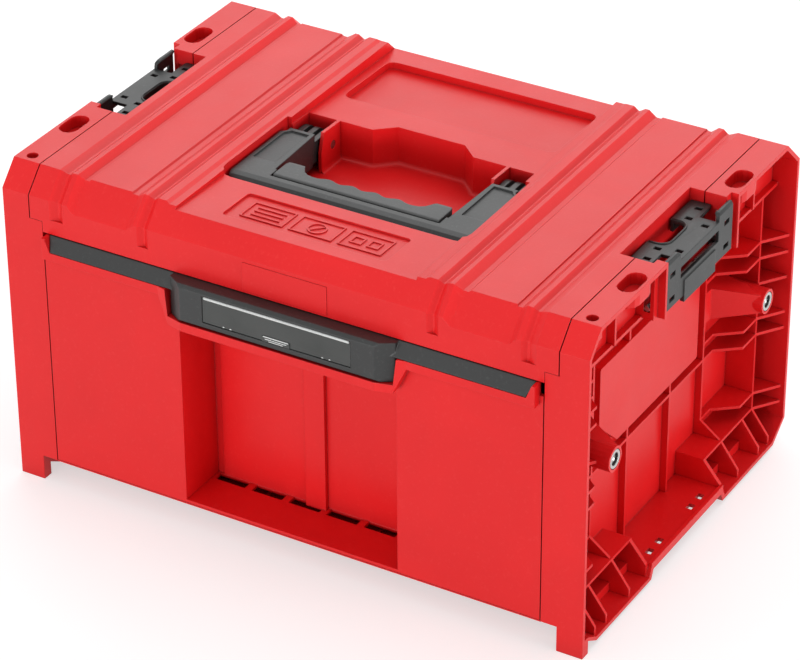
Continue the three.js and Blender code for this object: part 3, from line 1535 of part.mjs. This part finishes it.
// A stacking clip: a deck with two ears, a face plate with a window, and a lip at each end of it.
function stackingClip() {
  const { thick, centreY, innerX, earX, bayX, bay, bayCorner, earCorner, slot, ear, face, faceX } = CLIP;
  const { deckZ, bottom, tab, tabBottom, tabTop, tabRise, windowLow, windowHigh } = CLIP;
  const at = (offset) => centreY + offset;
  const under = deckZ - thick;
  const skin = faceX - thick;
  const across = (outline) => outline.map(([offset, x]) => [x, at(offset)]);
  const deckOutline = mirrorOutline([
    [ear, innerX, earCorner],
    [ear, earX, earCorner],
    [slot, earX],
    [slot, faceX],
  ]);
  const bayOutline = mirrorOutline([
    [bay, bayX, bayCorner],
    [bay, 0],
  ]);
  const deck = cut(
    prism("z", across(rounded(deckOutline)), under, deckZ),
    prism("z", across(rounded(bayOutline)), under - thick, TOP),
  );
  const plates = [
    block([skin, faceX], [at(-face), at(face)], [bottom, deckZ]),
    block([skin, faceX + tabRise], [at(-tab), at(tab)], [tabBottom, tabTop]),
  ];
  const { skirt, lug, lugX, lugZ, lugTop } = CLIP;
  for (const side of [-1, 1]) {
    const span = (from, to) => ordered(at(side * from), at(side * to));
    plates.push(clipLip(side));
    const skirtLevel = [deckZ - skirt, deckZ - thick / 2];
    plates.push(block([innerX, innerX + thick], span(bay, ear - earCorner), skirtLevel));
    plates.push(block([lugX, faceX - thick / 2], span(face - lug * 2, face - lug), [lugZ, lugTop]));
  }

  const { x, width, height, faceWidth, nearY, farY, bendY, faceY, highZ, lowZ } = CLIP_HOLE;
  const tools = [
    block([bayX + thick, HALF_WIDTH + OVERRUN], [at(-slot), at(slot)], [windowLow, windowHigh]),
    rod("y", [BAR.x, BAR.z], BAR.radius + FIT, FRONT, REAR),
  ];
  for (const side of [-1, 1]) {
    for (const offset of [nearY, farY]) {
      tools.push(block(centred(x, width), centred(at(side * offset), height), [under - thick, TOP]));
    }
    tools.push(block(centred(CLIP.slotX, width), centred(at(side * bendY), height), [under - FIT, TOP]));
    for (const z of [highZ, lowZ]) {
      const across = [skin - thick / 2, HALF_WIDTH];
      tools.push(block(across, centred(at(side * faceY), faceWidth), centred(z, height)));
    }
  }
  return cut(join(deck, plates), tools);
}

// A lip leans in over the face plate, with a bead along its top and a rounded inner end.
function clipLip(side) {
  const { thick, centreY, slot, face, faceX, deckZ, lipTop, lipReach, lipCorner } = CLIP;
  const skin = faceX - thick;
  const bead = lipTop - thick;
  const section = [
    [skin, deckZ - thick],
    [faceX, deckZ - thick],
    [faceX, bead],
    [faceX - thick / 2, lipTop],
    [faceX - lipReach, lipTop],
    [faceX - lipReach - thick / 2, bead + thick / 2],
    [faceX - lipReach, bead],
    [skin, bead - thick / 2],
  ];
  const trim = rounded([
    [slot, deckZ - thick * 2],
    [face, deckZ - thick * 2],
    [face, lipTop],
    [slot, lipTop, lipCorner],
  ]).map(([offset, z]) => [centreY + side * offset, z]);
  return prism("y", section, FRONT, REAR).intersect(prism("x", trim, skin - lipReach - thick, HALF_WIDTH));
}

addPair("stacking_clip", stackingClip(), softGrey);
const barEnds = [NOTCH.front - BAR.seat, NOTCH.rear + BAR.seat];
addPair("clip_bar", rod("y", [BAR.x, BAR.z], BAR.radius, ...barEnds), steel);

export default root;
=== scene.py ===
# The looks of a stackable plastic toolbox with one deep drawer.
# Metres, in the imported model's frame: +Z up, the drawer opens towards -Y.
import math

import bmesh
import bpy
from mathutils import Matrix, Vector
from mathutils.geometry import tessellate_polygon


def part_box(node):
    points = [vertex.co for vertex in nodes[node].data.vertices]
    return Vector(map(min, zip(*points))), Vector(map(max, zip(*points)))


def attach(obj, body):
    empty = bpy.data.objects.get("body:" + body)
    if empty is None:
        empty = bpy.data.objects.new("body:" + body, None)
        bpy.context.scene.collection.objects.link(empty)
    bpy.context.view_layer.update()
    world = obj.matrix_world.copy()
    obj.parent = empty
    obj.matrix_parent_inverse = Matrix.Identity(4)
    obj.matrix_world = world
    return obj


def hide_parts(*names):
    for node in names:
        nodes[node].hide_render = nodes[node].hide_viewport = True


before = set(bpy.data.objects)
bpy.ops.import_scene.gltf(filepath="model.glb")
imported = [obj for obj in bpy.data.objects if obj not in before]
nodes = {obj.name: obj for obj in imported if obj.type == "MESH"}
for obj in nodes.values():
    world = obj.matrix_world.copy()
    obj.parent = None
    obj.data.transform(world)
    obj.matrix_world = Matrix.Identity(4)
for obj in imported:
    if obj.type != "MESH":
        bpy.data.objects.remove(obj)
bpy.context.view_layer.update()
MM = 0.001
PLASTIC_IOR = 1.49

# The photograph's view: its angles in degrees, its focal length in pixels of its own width
AZIMUTH, ELEVATION, ROLL = 30.51, 31.33, -0.35
TARGET = Vector((1.05, -2.02, 108.47)) * MM
DISTANCE = 2518.5 * MM
FOCAL_PIXELS, PICTURE_WIDTH, SENSOR_WIDTH = 3603.53, 800, 36


# The direction that lies at an azimuth and an elevation, 0 being straight in front of the drawer
def direction(azimuth, elevation):
    azimuth, elevation = math.radians(azimuth), math.radians(elevation)
    flat = math.cos(elevation)
    return Vector((math.sin(azimuth) * flat, -math.cos(azimuth) * flat, math.sin(elevation)))


def place_camera():
    back = direction(AZIMUTH, ELEVATION)
    level = Vector((math.cos(math.radians(AZIMUTH)), math.sin(math.radians(AZIMUTH)), 0))
    rise = back.cross(level)
    roll = math.radians(ROLL)
    right = math.cos(roll) * level + math.sin(roll) * rise
    up = -math.sin(roll) * level + math.cos(roll) * rise
    data = bpy.data.cameras.new("camera")
    data.sensor_fit = "HORIZONTAL"
    data.sensor_width = SENSOR_WIDTH
    data.lens = SENSOR_WIDTH * FOCAL_PIXELS / PICTURE_WIDTH
    data.clip_start = 0.1
    data.clip_end = 60
    camera = bpy.data.objects.new("camera", data)
    turn = Matrix((right, up, back)).transposed().to_4x4()
    camera.matrix_world = Matrix.Translation(TARGET + back * DISTANCE) @ turn
    bpy.context.scene.collection.objects.link(camera)
    bpy.context.scene.camera = camera


# Materials, each built node by node
class Tree:
    def __init__(self, tree):
        self.tree = tree
        tree.nodes.clear()

    def add(self, kind, links=None, **values):
        node = self.tree.nodes.new("ShaderNode" + kind)
        for name, value in values.items():
            setattr(node, name, value)
        for socket, value in (links or {}).items():
            target = node.inputs[socket]
            if isinstance(value, bpy.types.NodeSocket):
                self.tree.links.new(value, target)
            else:
                target.default_value = value
        return node

    def place(self):
        return self.add("TexCoord").outputs["Object"]

    def noise(self, where, scale, detail=3.0, rough=0.55, distortion=0.0):
        return self.add(
            "TexNoise",
            {"Vector": where, "Scale": scale, "Detail": detail, "Roughness": rough, "Distortion": distortion},
        ).outputs["Fac"]

    def ramp(self, value, low, high, to_low=0.0, to_high=1.0):
        return self.add(
            "MapRange",
            {"Value": value, "From Min": low, "From Max": high, "To Min": to_low, "To Max": to_high},
        ).outputs["Result"]

    def math(self, operation, first, second=0.0):
        return self.add("Math", {0: first, 1: second}, operation=operation).outputs[0]

    def mix(self, share, first, second):
        return self.add("Mix", {0: share, 6: first, 7: second}, data_type="RGBA").outputs[2]

    # How open a point lies: 1 in the open, towards 0 deep in a seam or a corner
    def openness(self, distance):
        return self.add("AmbientOcclusion", {"Distance": distance}, samples=6).outputs["AO"]

    # The surface's direction with its sharp edges rounded off
    def rounded(self, radius):
        return self.add("Bevel", {"Radius": radius}, samples=6).outputs["Normal"]

    # How close a point lies to a sharp edge: 0 on flat faces, towards 1 on edges
    def edges(self, radius, on_edge, on_flat):
        soft = self.rounded(radius)
        true = self.add("NewGeometry").outputs["True Normal"]
        along = self.add("VectorMath", {0: soft, 1: true}, operation="DOT_PRODUCT").outputs["Value"]
        return self.ramp(along, on_flat, on_edge)

    def relief(self, height, normal, strength, depth):
        return self.add(
            "Bump", {"Strength": strength, "Distance": depth, "Height": height, "Normal": normal}
        ).outputs["Normal"]

    # 1 for rays from the camera, from a gloss or through glass, which see the backdrop as it is
    def sees_backdrop(self):
        path = self.add("LightPath")
        seen = self.math("MAXIMUM", path.outputs["Is Camera Ray"], path.outputs["Is Glossy Ray"])
        return self.math("MAXIMUM", seen, path.outputs["Is Transmission Ray"])


def material(name):
    made = bpy.data.materials.new(name)
    made.use_nodes = True
    return made, Tree(made.node_tree)


def colour(red, green, blue):
    return (red, green, blue, 1.0)


def darker(base, share):
    return colour(*(c * share for c in base[:3]))


# Moulded plastic: eroded grain, faint flow marks, rubbed edges that are partly wear and partly a painted
# highlight, painted shade in seams and hollows
def moulded(name, base, deep, pale, rough=0.42, grain=0.5, pitch=0.55 * MM, round_edge=0.9 * MM, seam_shade=0.8,
            hollow_shade=0.42, gloss=0.5):
    wear_and_highlight_width, wear_and_highlight_share = 0.7 * MM, 0.35
    hollow_shade_reach, seam_shade_reach = 24.0 * MM, 2.2 * MM
    grain_depth = 0.04 * MM
    made, t = material(name)
    where = t.place()
    flow = t.noise(where, scale=9.0, detail=4.0, rough=0.6, distortion=0.6)
    fleck = t.noise(where, scale=420.0, detail=2.0, rough=0.5)
    tone = t.mix(t.ramp(flow, 0.3, 0.75), base, deep)
    tone = t.mix(t.ramp(fleck, 0.58, 0.8, 0.0, 0.16), tone, pale)

    # Pale rubbed edges: partly wear, partly a painted highlight where rounded edges would catch the light
    edge = t.edges(wear_and_highlight_width, on_edge=0.72, on_flat=0.995)
    patchy = t.ramp(t.noise(where, scale=60.0, detail=5.0, rough=0.7), 0.42, 0.7)
    rub_and_highlight = t.math("MULTIPLY", t.math("MULTIPLY", edge, patchy), wear_and_highlight_share)
    tone = t.mix(rub_and_highlight, tone, pale)

    # Painted shade: the colour turns darker in hollows and in seams, where shade falls
    shade = darker(deep, 0.3)
    tone = t.mix(t.ramp(t.openness(hollow_shade_reach), 0.1, 0.85, hollow_shade, 0.0), tone, shade)
    tone = t.mix(t.ramp(t.openness(seam_shade_reach), 0.2, 0.7, seam_shade, 0.0), tone, shade)

    grime = t.ramp(t.noise(where, scale=26.0, detail=6.0, rough=0.65), 0.35, 0.8, -0.035, 0.05)
    shine = t.math("ADD", grime, rough)
    eroded = t.add(
        "TexVoronoi", {"Vector": where, "Scale": 1 / (pitch * 2.2)}, feature="SMOOTH_F1"
    ).outputs["Distance"]
    fine = t.math("ADD", t.noise(where, scale=1 / pitch, detail=3.0, rough=0.6), eroded)
    bump = t.relief(fine, t.rounded(round_edge), strength=grain, depth=grain_depth)

    bsdf = t.add("BsdfPrincipled", {"Base Color": tone, "Roughness": shine, "Normal": bump, "IOR": PLASTIC_IOR})
    bsdf.inputs["Specular IOR Level"].default_value = gloss
    t.add("OutputMaterial", {"Surface": bsdf.outputs[0]})
    return made


# Bright or plated metal: fine drawn marks, a little dulling, painted shade in its bores
def metal(name, base, rough):
    bore_shade_reach = 8.0 * MM
    edge_width, mark_depth = 0.3 * MM, 0.02 * MM
    along_z = (60.0, 60.0, 900.0)
    made, t = material(name)
    where = t.place()
    drawn = t.add("Mapping", {"Vector": where, "Scale": along_z}).outputs["Vector"]
    marks = t.noise(drawn, scale=8.0, detail=4.0, rough=0.6)
    cloud = t.noise(where, scale=90.0, detail=4.0, rough=0.6)
    tone = t.mix(t.ramp(cloud, 0.4, 0.75), base, darker(base, 0.62))
    # Painted shade: darker deep in bores
    tone = t.mix(t.ramp(t.openness(bore_shade_reach), 0.3, 0.92, 0.96, 0.0), tone, darker(base, 0.04))
    shine = t.ramp(t.math("ADD", marks, cloud), 0.6, 1.4, rough - 0.08, rough + 0.16)
    bump = t.relief(marks, t.rounded(edge_width), strength=0.25, depth=mark_depth)
    bsdf = t.add("BsdfPrincipled", {"Base Color": tone, "Roughness": shine, "Normal": bump, "Metallic": 1.0})
    t.add("OutputMaterial", {"Surface": bsdf.outputs[0]})
    return made


# Clear plastic with a tint, a little haze and a few hairline scuffs
def clear(name, tint, cloud, through):
    scuff_tilt, scuff_scale, scuff_share = (0, 0.4, 0), (60.0, 60.0, 1400.0), 0.12
    made, t = material(name)
    where = t.place()
    tilted = t.add("Mapping", {"Vector": where, "Rotation": scuff_tilt, "Scale": scuff_scale})
    hair = t.ramp(t.noise(tilted.outputs["Vector"], scale=1.0, detail=2.0, rough=0.5), 0.70, 0.78)
    haze = t.ramp(t.noise(where, scale=40.0, detail=4.0, rough=0.6), 0.35, 0.75, 0.05, 0.16)
    shine = t.math("ADD", haze, t.math("MULTIPLY", hair, scuff_share))
    tone = t.mix(t.ramp(t.noise(where, scale=25.0, detail=3.0, rough=0.5), 0.4, 0.7), tint, cloud)
    bsdf = t.add(
        "BsdfPrincipled",
        {"Base Color": tone, "Roughness": shine, "Transmission Weight": through, "IOR": PLASTIC_IOR},
    )
    t.add("OutputMaterial", {"Surface": bsdf.outputs[0]})
    return made


RED = moulded(
    "red_plastic", colour(0.82, 0.010, 0.012), colour(0.74, 0.007, 0.009), colour(0.90, 0.09, 0.08),
    round_edge=0.5 * MM, gloss=0.4,
)
DARK = moulded(
    "dark_grey_plastic", colour(0.025, 0.027, 0.027), colour(0.019, 0.020, 0.020),
    colour(0.15, 0.16, 0.16), grain=0.6, seam_shade=0.5,
)
# The drawer bin's dark grey plastic, lightened as painted light to lift its shaded inside
LIGHTENED_BIN = moulded(
    "bin_grey_plastic_lightened", colour(0.052, 0.055, 0.055), colour(0.040, 0.042, 0.042),
    colour(0.16, 0.17, 0.17), rough=0.46, grain=0.8, seam_shade=0.4, hollow_shade=0.1,
)
TOUGH = moulded(
    "tough_grey_plastic", colour(0.017, 0.019, 0.019), colour(0.013, 0.014, 0.014),
    colour(0.14, 0.15, 0.15), rough=0.44, seam_shade=0.4,
)
SOFT = moulded(
    "soft_grip_plastic", colour(0.068, 0.070, 0.070), colour(0.052, 0.054, 0.054),
    colour(0.18, 0.18, 0.18), rough=0.5, grain=1.0, pitch=0.8 * MM, round_edge=1.4 * MM,
)
CLEAR = clear("smoked_plastic", colour(0.065, 0.070, 0.067), colour(0.048, 0.053, 0.050), through=0.2)
# Near-white clear plastic: a painted highlight on the window's bead, tab ribs and stops
PALE_HIGHLIGHT_PLASTIC = clear("pale_clear_plastic_painted_highlight", colour(0.80, 0.82, 0.81), colour(0.68, 0.70, 0.69), through=0.1)
STEEL = metal("drawn_steel", colour(0.55, 0.55, 0.54), rough=0.28)
ZINC = metal("zinc_plate", colour(0.66, 0.68, 0.70), rough=0.34)
SPRINGY = metal("spring_steel", colour(0.50, 0.50, 0.49), rough=0.24)

# The material of each solid whose name starts so. The rest are red.
FINISH = {
    "threaded_insert": STEEL, "base_screw": ZINC, "cover_screw": ZINC, "back_screw": ZINC, "front_screw": ZINC,
    "slide_outer": ZINC, "slide_inner": ZINC, "ball_cage": STEEL, "drawer_bin": LIGHTENED_BIN, "drawer_grip_bar": DARK,
    "label_window": CLEAR, "latch_lever": DARK, "latch_spring": SPRINGY, "latch_pin": STEEL,
    "carry_handle": DARK, "handle_grip": SOFT, "handle_pin": STEEL, "stacking_clip": TOUGH, "clip_bar": STEEL,
}


def nodes_of(start):
    return [(name, node) for name, node in nodes.items() if name.startswith(start)]


def finish_of(name):
    return next((made for start, made in FINISH.items() if name.startswith(start)), RED)


def paint_solids():
    for name, node in nodes.items():
        if not node.data.materials:
            node.data.materials.append(None)
        for slot in node.material_slots:
            slot.link = "OBJECT"
            slot.material = finish_of(name)


# One object from (points, faces) parts, all of which ride on one body
def piece(name, body, made, parts):
    points, faces = [], []
    for part_points, part_faces in parts:
        first = len(points)
        points += [tuple(p) for p in part_points]
        faces += [[first + i for i in face] for face in part_faces]
    mesh = bpy.data.meshes.new(name)
    mesh.from_pydata(points, [], faces)
    shape = bmesh.new()
    shape.from_mesh(mesh)
    bmesh.ops.recalc_face_normals(shape, faces=shape.faces)
    shape.to_mesh(mesh)
    shape.free()
    mesh.materials.append(made)
    thing = bpy.data.objects.new(name, mesh)
    bpy.context.scene.collection.objects.link(thing)
    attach(thing, body)
    return thing


def smooth(thing, sharp_from=35):
    for face in thing.data.polygons:
        face.use_smooth = True
    thing.data.set_sharp_from_angle(angle=math.radians(sharp_from))


# The faces between rings of points that follow each other, each with the same count of sides
def skin(rings, sides, closed=False):
    faces = []
    for i in range(rings if closed else rings - 1):
        near, far = i * sides, (i + 1) % rings * sides
        for k in range(sides):
            after = (k + 1) % sides
            faces.append([near + k, near + after, far + after, far + k])
    if not closed:
        faces.append(list(range(sides)))
        faces.append([(rings - 1) * sides + k for k in range(sides)])
    return faces


# How far a tube's cap stands out, and its own radius, as a share of the tube's radius
CAP_SHARE = 0.55


# A tube along a path, which narrows to a small cap past each end
def tube(path, radius, sides=12):
    path = [Vector(p) for p in path]
    cap = radius * CAP_SHARE
    sections = []
    side = None
    for i, point in enumerate(path):
        ahead = path[min(i + 1, len(path) - 1)] - path[max(i - 1, 0)]
        ahead.normalize()
        if side is None:
            side = ahead.orthogonal().normalized()
        else:
            side = (side - ahead * side.dot(ahead)).normalized()
        sections.append((point, side, ahead, radius))
    start, side, ahead, _ = sections[0]
    end, last_side, last, _ = sections[-1]
    sections.insert(0, (start - ahead * cap, side, ahead, cap))
    sections.append((end + last * cap, last_side, last, cap))
    points = []
    for centre, across, along, reach in sections:
        other = along.cross(across)
        for k in range(sides):
            turn = k / sides * math.tau
            points.append(centre + across * math.cos(turn) * reach + other * math.sin(turn) * reach)
    return points, skin(len(sections), sides)


# Rings of points around an X axis through a face's centre, from a profile of (depth, radius).
# The profile is closed on itself, or filled at both ends.
def lathe(profile, face, inward, closed, sides=40):
    points = []
    for depth, radius in profile:
        for k in range(sides):
            turn = k / sides * math.tau
            points.append(
                (face.x + inward * depth, face.y + math.cos(turn) * radius, face.z + math.sin(turn) * radius)
            )
    return points, skin(len(profile), sides, closed)


# A concave bead along a corner between a floor and walls: the path runs with the walls on its left
def fillet(path, floor, radius, sunk, steps=5):
    path = [Vector(p) for p in path]
    points = []
    for i, corner in enumerate(path):
        before = (corner - path[i - 1]).normalized() if i else (path[1] - corner).normalized()
        after = (path[i + 1] - corner).normalized() if i < len(path) - 1 else before
        inward = Vector((before.y + after.y, -before.x - after.x))
        inward *= 2 / inward.length_squared
        section = [(-sunk, radius), (-sunk, -sunk), (radius, -sunk)]
        for k in range(steps + 1):
            turn = k / steps * math.pi / 2
            section.append((radius * (1 - math.sin(turn)), radius * (1 - math.cos(turn))))
        for out, rise in section:
            spot = corner + inward * out
            points.append((spot.x, spot.y, floor + rise))
    return points, skin(len(path), len(section))


def ball(centre, radius):
    shape = bmesh.new()
    bmesh.ops.create_icosphere(shape, subdivisions=3, radius=radius)
    points = [centre + v.co for v in shape.verts]
    faces = [[v.index for v in face.verts] for face in shape.faces]
    shape.free()
    return points, faces


def box_of(name):
    low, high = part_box(name)
    return Vector(low), Vector(high)


# The centre of a solid's outer face on its own side of the toolbox, and which way is inward there
def side_face(name):
    low, high = box_of(name)
    middle = (low + high) / 2
    inward = -1 if middle.x > 0 else 1
    return Vector((high.x if inward < 0 else low.x, middle.y, middle.z)), inward


# The label window: a bead along its hinge, a ribbed thumb tab and four stops below, in near-white plastic that
# paints the highlight along them
def window_details():
    bead, line, stop = 1.05 * MM, 0.4 * MM, 0.6 * MM
    low, high = box_of("label_window")
    inset = 1.2 * MM
    bead_y, bead_z = low.y + 1.1 * MM, high.z - 1.0 * MM
    parts = [tube([(low.x + inset, bead_y, bead_z), (high.x - inset, bead_y, bead_z)], bead, 16)]
    line_y, front = low.y + 0.2 * MM, low.y - 0.01 * MM
    for rise, half in ((3.5, 9.6), (2.0, 8.2), (0.7, 5.4)):
        z = low.z + rise * MM
        points, faces = tube([(-half * MM, line_y, z), (half * MM, line_y, z)], line, 10)
        parts.append(([(p.x, max(p.y, front), p.z) for p in points], faces))
    stop_z, stop_half = low.z + 0.6 * MM, 0.5
    for x in (-41.0, -35.5, 35.5, 41.0):
        ends = [((x + way * stop_half) * MM, bead_y, stop_z) for way in (-1, 1)]
        parts.append(tube(ends, stop, 10))
    smooth(piece("window_bead", "label_window", PALE_HIGHLIGHT_PLASTIC, parts))


# The rounded corner between the bowl's floor and its rear wall, whose right half is given from the middle
def bowl_fillet():
    middle_y, floor_z = 6.25, 211.0
    right = [(66.0, 0.0), (66.0, 25.5), (40.0, 25.5), (26.5, 38.0)]
    outline = [(-x, y) for x, y in right] + right[::-1]
    path = [(x * MM, (y + middle_y) * MM) for x, y in outline]
    corner = fillet(path, floor=floor_z * MM, radius=2.6 * MM, sunk=0.3 * MM)
    smooth(piece("bowl_fillet", "case", RED, [corner]), 50)


# A rim along the finger bay of each clip: straight, round a corner and along the bay's bottom
def clip_rims():
    start, corner_x, corner_y, reach, steps = 1.2, 6.0, 9.0, 8.3, 7
    rim_z, radius = 239.15 * MM, 0.75 * MM
    outline = [(start, corner_y + reach)]
    for k in range(steps + 1):
        turn = k / steps * math.pi / 2
        outline.append((corner_x + reach * math.sin(turn), corner_y + reach * math.cos(turn)))
    outline += [(x, -y) for x, y in outline[::-1]]
    for side in ("right", "left"):
        low, high = box_of("stacking_clip_" + side)
        middle = (low + high) / 2
        sign = 1 if middle.x > 0 else -1
        edge = low.x if sign > 0 else high.x
        path = [(edge + sign * x * MM, middle.y + y * MM, rim_z) for x, y in outline]
        smooth(piece("clip_rim_" + side, "clip_" + side, TOUGH, [tube(path, radius)]), 60)


# A disc with a cross recess, which lies on a screw's head
def cross_drive(centre, towards):
    out = Vector(towards)
    across = out.orthogonal().normalized()
    other = out.cross(across)
    disc, arm, half = 1.96 * MM, 1.5 * MM, 0.36 * MM
    top, bottom = 0.15 * MM, 1.1 * MM
    sides = 20
    cross = [(arm, half), (half, half), (half, arm), (-half, arm), (-half, half), (-arm, half)]
    cross += [(-x, -y) for x, y in cross]
    turns = [k / sides * math.tau for k in range(sides)]
    ring = [(math.cos(turn) * disc, math.sin(turn) * disc) for turn in turns]
    flat = ring + cross
    triangles = tessellate_polygon([[Vector((x, y, 0)) for x, y in loop] for loop in (ring, cross)])
    points = []
    for depth in (top, bottom):
        points += [centre - out * depth + across * x + other * y for x, y in flat]
    total = len(flat)
    faces = [list(t) for t in triangles] + [[total + i for i in t] for t in triangles]
    for first, count in ((0, len(ring)), (len(ring), len(cross))):
        for k in range(count):
            a, b = first + k, first + (k + 1) % count
            faces.append([a, b, total + b, total + a])
    return points, faces


def screw_drives():
    facing = {
        "base_screw": (0, 0, -1), "cover_screw": (0, 0, -1), "back_screw": (0, 1, 0), "front_screw": (0, 1, 0),
    }
    for start, towards in facing.items():
        body = "drawer" if start == "front_screw" else "case"
        axis = 2 if towards[2] else 1
        for name, _ in nodes_of(start):
            low, high = box_of(name)
            head = (low + high) / 2
            head[axis] = high[axis] if sum(towards) > 0 else low[axis]
            piece(name.replace("screw", "screw_drive"), body, ZINC, [cross_drive(head, towards)])


# Each insert as (depth, radius) from its outer face: flange, countersunk mouth, body and bore
INSERT_PROFILE = [
    (0.3, 4.6), (0, 4.9), (0, 6.6), (0.4, 7.0), (2.0, 7.0), (2.0, 6.2), (16.0, 6.2), (17.0, 7.0),
    (18.0, 7.0), (18.0, 3.4), (3.2, 3.4), (2.4, 4.6),
]
THREAD = {"from": 4.0, "pitch": 1.25, "radius": 3.3, "wire": 0.32, "turns": 8, "steps": 20}


def insert_details():
    profile = [(depth * MM, radius * MM) for depth, radius in INSERT_PROFILE]
    for name, _ in nodes_of("threaded_insert"):
        face, inward = side_face(name)
        rings = lathe(profile, face, inward, closed=True)
        body = piece(name.replace("threaded_insert", "insert_body"), "case", STEEL, [rings])
        smooth(body)
        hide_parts(name)
        reach = THREAD["radius"] * MM
        path = []
        for i in range(THREAD["turns"] * THREAD["steps"] + 1):
            turn = i / THREAD["steps"] * math.tau
            x = face.x + inward * (THREAD["from"] + i / THREAD["steps"] * THREAD["pitch"]) * MM
            path.append((x, face.y + math.cos(turn) * reach, face.z + math.sin(turn) * reach))
        thread = name.replace("threaded_insert", "insert_thread")
        smooth(piece(thread, "case", STEEL, [tube(path, THREAD["wire"] * MM, 8)]))


# The moulded pad on each side wall that closes the hole of the slide's front stud
def stud_pads():
    stud_y = -53.75 * MM
    profile = [(depth * MM, radius * MM) for depth, radius in ((-0.05, 4.2), (-0.85, 4.2), (-1.0, 3.9))]
    for side in ("right", "left"):
        end, inward = side_face("slide_outer_" + side)
        end.y = stud_y
        smooth(piece("stud_pad_" + side, "case", RED, [lathe(profile, end, inward, closed=False)]))


# The balls in each cage
def slide_balls():
    row_inset, radius, count = 2.25 * MM, 2.1 * MM, 5
    for side in ("right", "left"):
        low, high = box_of("ball_cage_" + side)
        x = (low.x + high.x) / 2
        parts = []
        for z in (low.z + row_inset, high.z - row_inset):
            for i in range(count):
                y = low.y + (high.y - low.y) * (i + 0.5) / count
                parts.append(ball(Vector((x, y, z)), radius))
        smooth(piece("slide_balls_" + side, "ball_cages", STEEL, parts), 180)


# Slim rounded edges on the dark pieces, by width
ROUNDED = {
    "carry_handle": 0.7 * MM, "handle_grip": 0.8 * MM, "drawer_grip_bar": 0.5 * MM, "stacking_clip": 0.35 * MM,
}


def round_edges():
    weld_reach, flat_below, sharp_from = 0.004 * MM, math.radians(1), math.radians(32)
    for start, width in ROUNDED.items():
        for _, node in nodes_of(start):
            weld = node.modifiers.new("weld", "WELD")
            weld.merge_threshold = weld_reach
            flat = node.modifiers.new("flat", "DECIMATE")
            flat.decimate_type = "DISSOLVE"
            flat.angle_limit = flat_below
            edge = node.modifiers.new("edge", "BEVEL")
            edge.width = width
            edge.segments = 2
            edge.limit_method = "ANGLE"
            edge.angle_limit = sharp_from


# A pale floor that keeps the toolbox's shadow
def lay_floor():
    grey, glow_strength = 0.6, 0.56
    radius, drop = 12, 0.2 * MM
    made, t = material("pale_floor")
    seen = t.sees_backdrop()
    diffuse = t.add("BsdfDiffuse", {"Color": colour(grey, grey, grey)})
    glow = t.add("Emission", {"Color": colour(1, 1, 1), "Strength": glow_strength})
    both = t.add("AddShader", {0: diffuse.outputs[0], 1: glow.outputs[0]})
    shown = t.add("MixShader", {0: seen, 1: diffuse.outputs[0], 2: both.outputs[0]})
    t.add("OutputMaterial", {"Surface": shown.outputs[0]})
    mesh = bpy.data.meshes.new("floor")
    shape = bmesh.new()
    bmesh.ops.create_circle(shape, cap_ends=True, radius=radius, segments=96)
    shape.to_mesh(mesh)
    shape.free()
    mesh.materials.append(made)
    floor = bpy.data.objects.new("floor", mesh)
    floor.location.z = -drop
    bpy.context.scene.collection.objects.link(floor)


# Soft fill from the world, which is plain white where it is seen
def light_world():
    fill_strength = 0.55
    world = bpy.data.worlds.new("studio")
    bpy.context.scene.world = world
    world.use_nodes = True
    t = Tree(world.node_tree)
    seen = t.sees_backdrop()
    fill = t.add("Background", {"Color": colour(1, 1, 1), "Strength": fill_strength})
    plain = t.add("Background", {"Color": colour(1, 1, 1), "Strength": 1.0})
    shown = t.add("MixShader", {0: seen, 1: fill.outputs[0], 2: plain.outputs[0]})
    t.add("OutputWorld", {"Surface": shown.outputs[0]})


def add_sun(name, azimuth, elevation, strength, spread):
    data = bpy.data.lights.new(name, "SUN")
    data.energy = strength
    data.angle = math.radians(spread)
    lamp = bpy.data.objects.new(name, data)
    lamp.rotation_mode = "QUATERNION"
    lamp.rotation_quaternion = direction(azimuth, elevation).to_track_quat("Z", "Y")
    bpy.context.scene.collection.objects.link(lamp)


paint_solids()
place_camera()
window_details()
insert_details()
stud_pads()
slide_balls()
bowl_fillet()
clip_rims()
screw_drives()
round_edges()
lay_floor()
light_world()
add_sun("front_light", azimuth=-4, elevation=2, strength=2.1, spread=22)
add_sun("side_light", azimuth=92, elevation=2, strength=2.05, spread=20)
add_sun("top_light", azimuth=150, elevation=76, strength=0.55, spread=40)
add_sun("sheen_light", azimuth=205, elevation=34, strength=0.8, spread=55)
bpy.context.scene.view_settings.view_transform = "Standard"
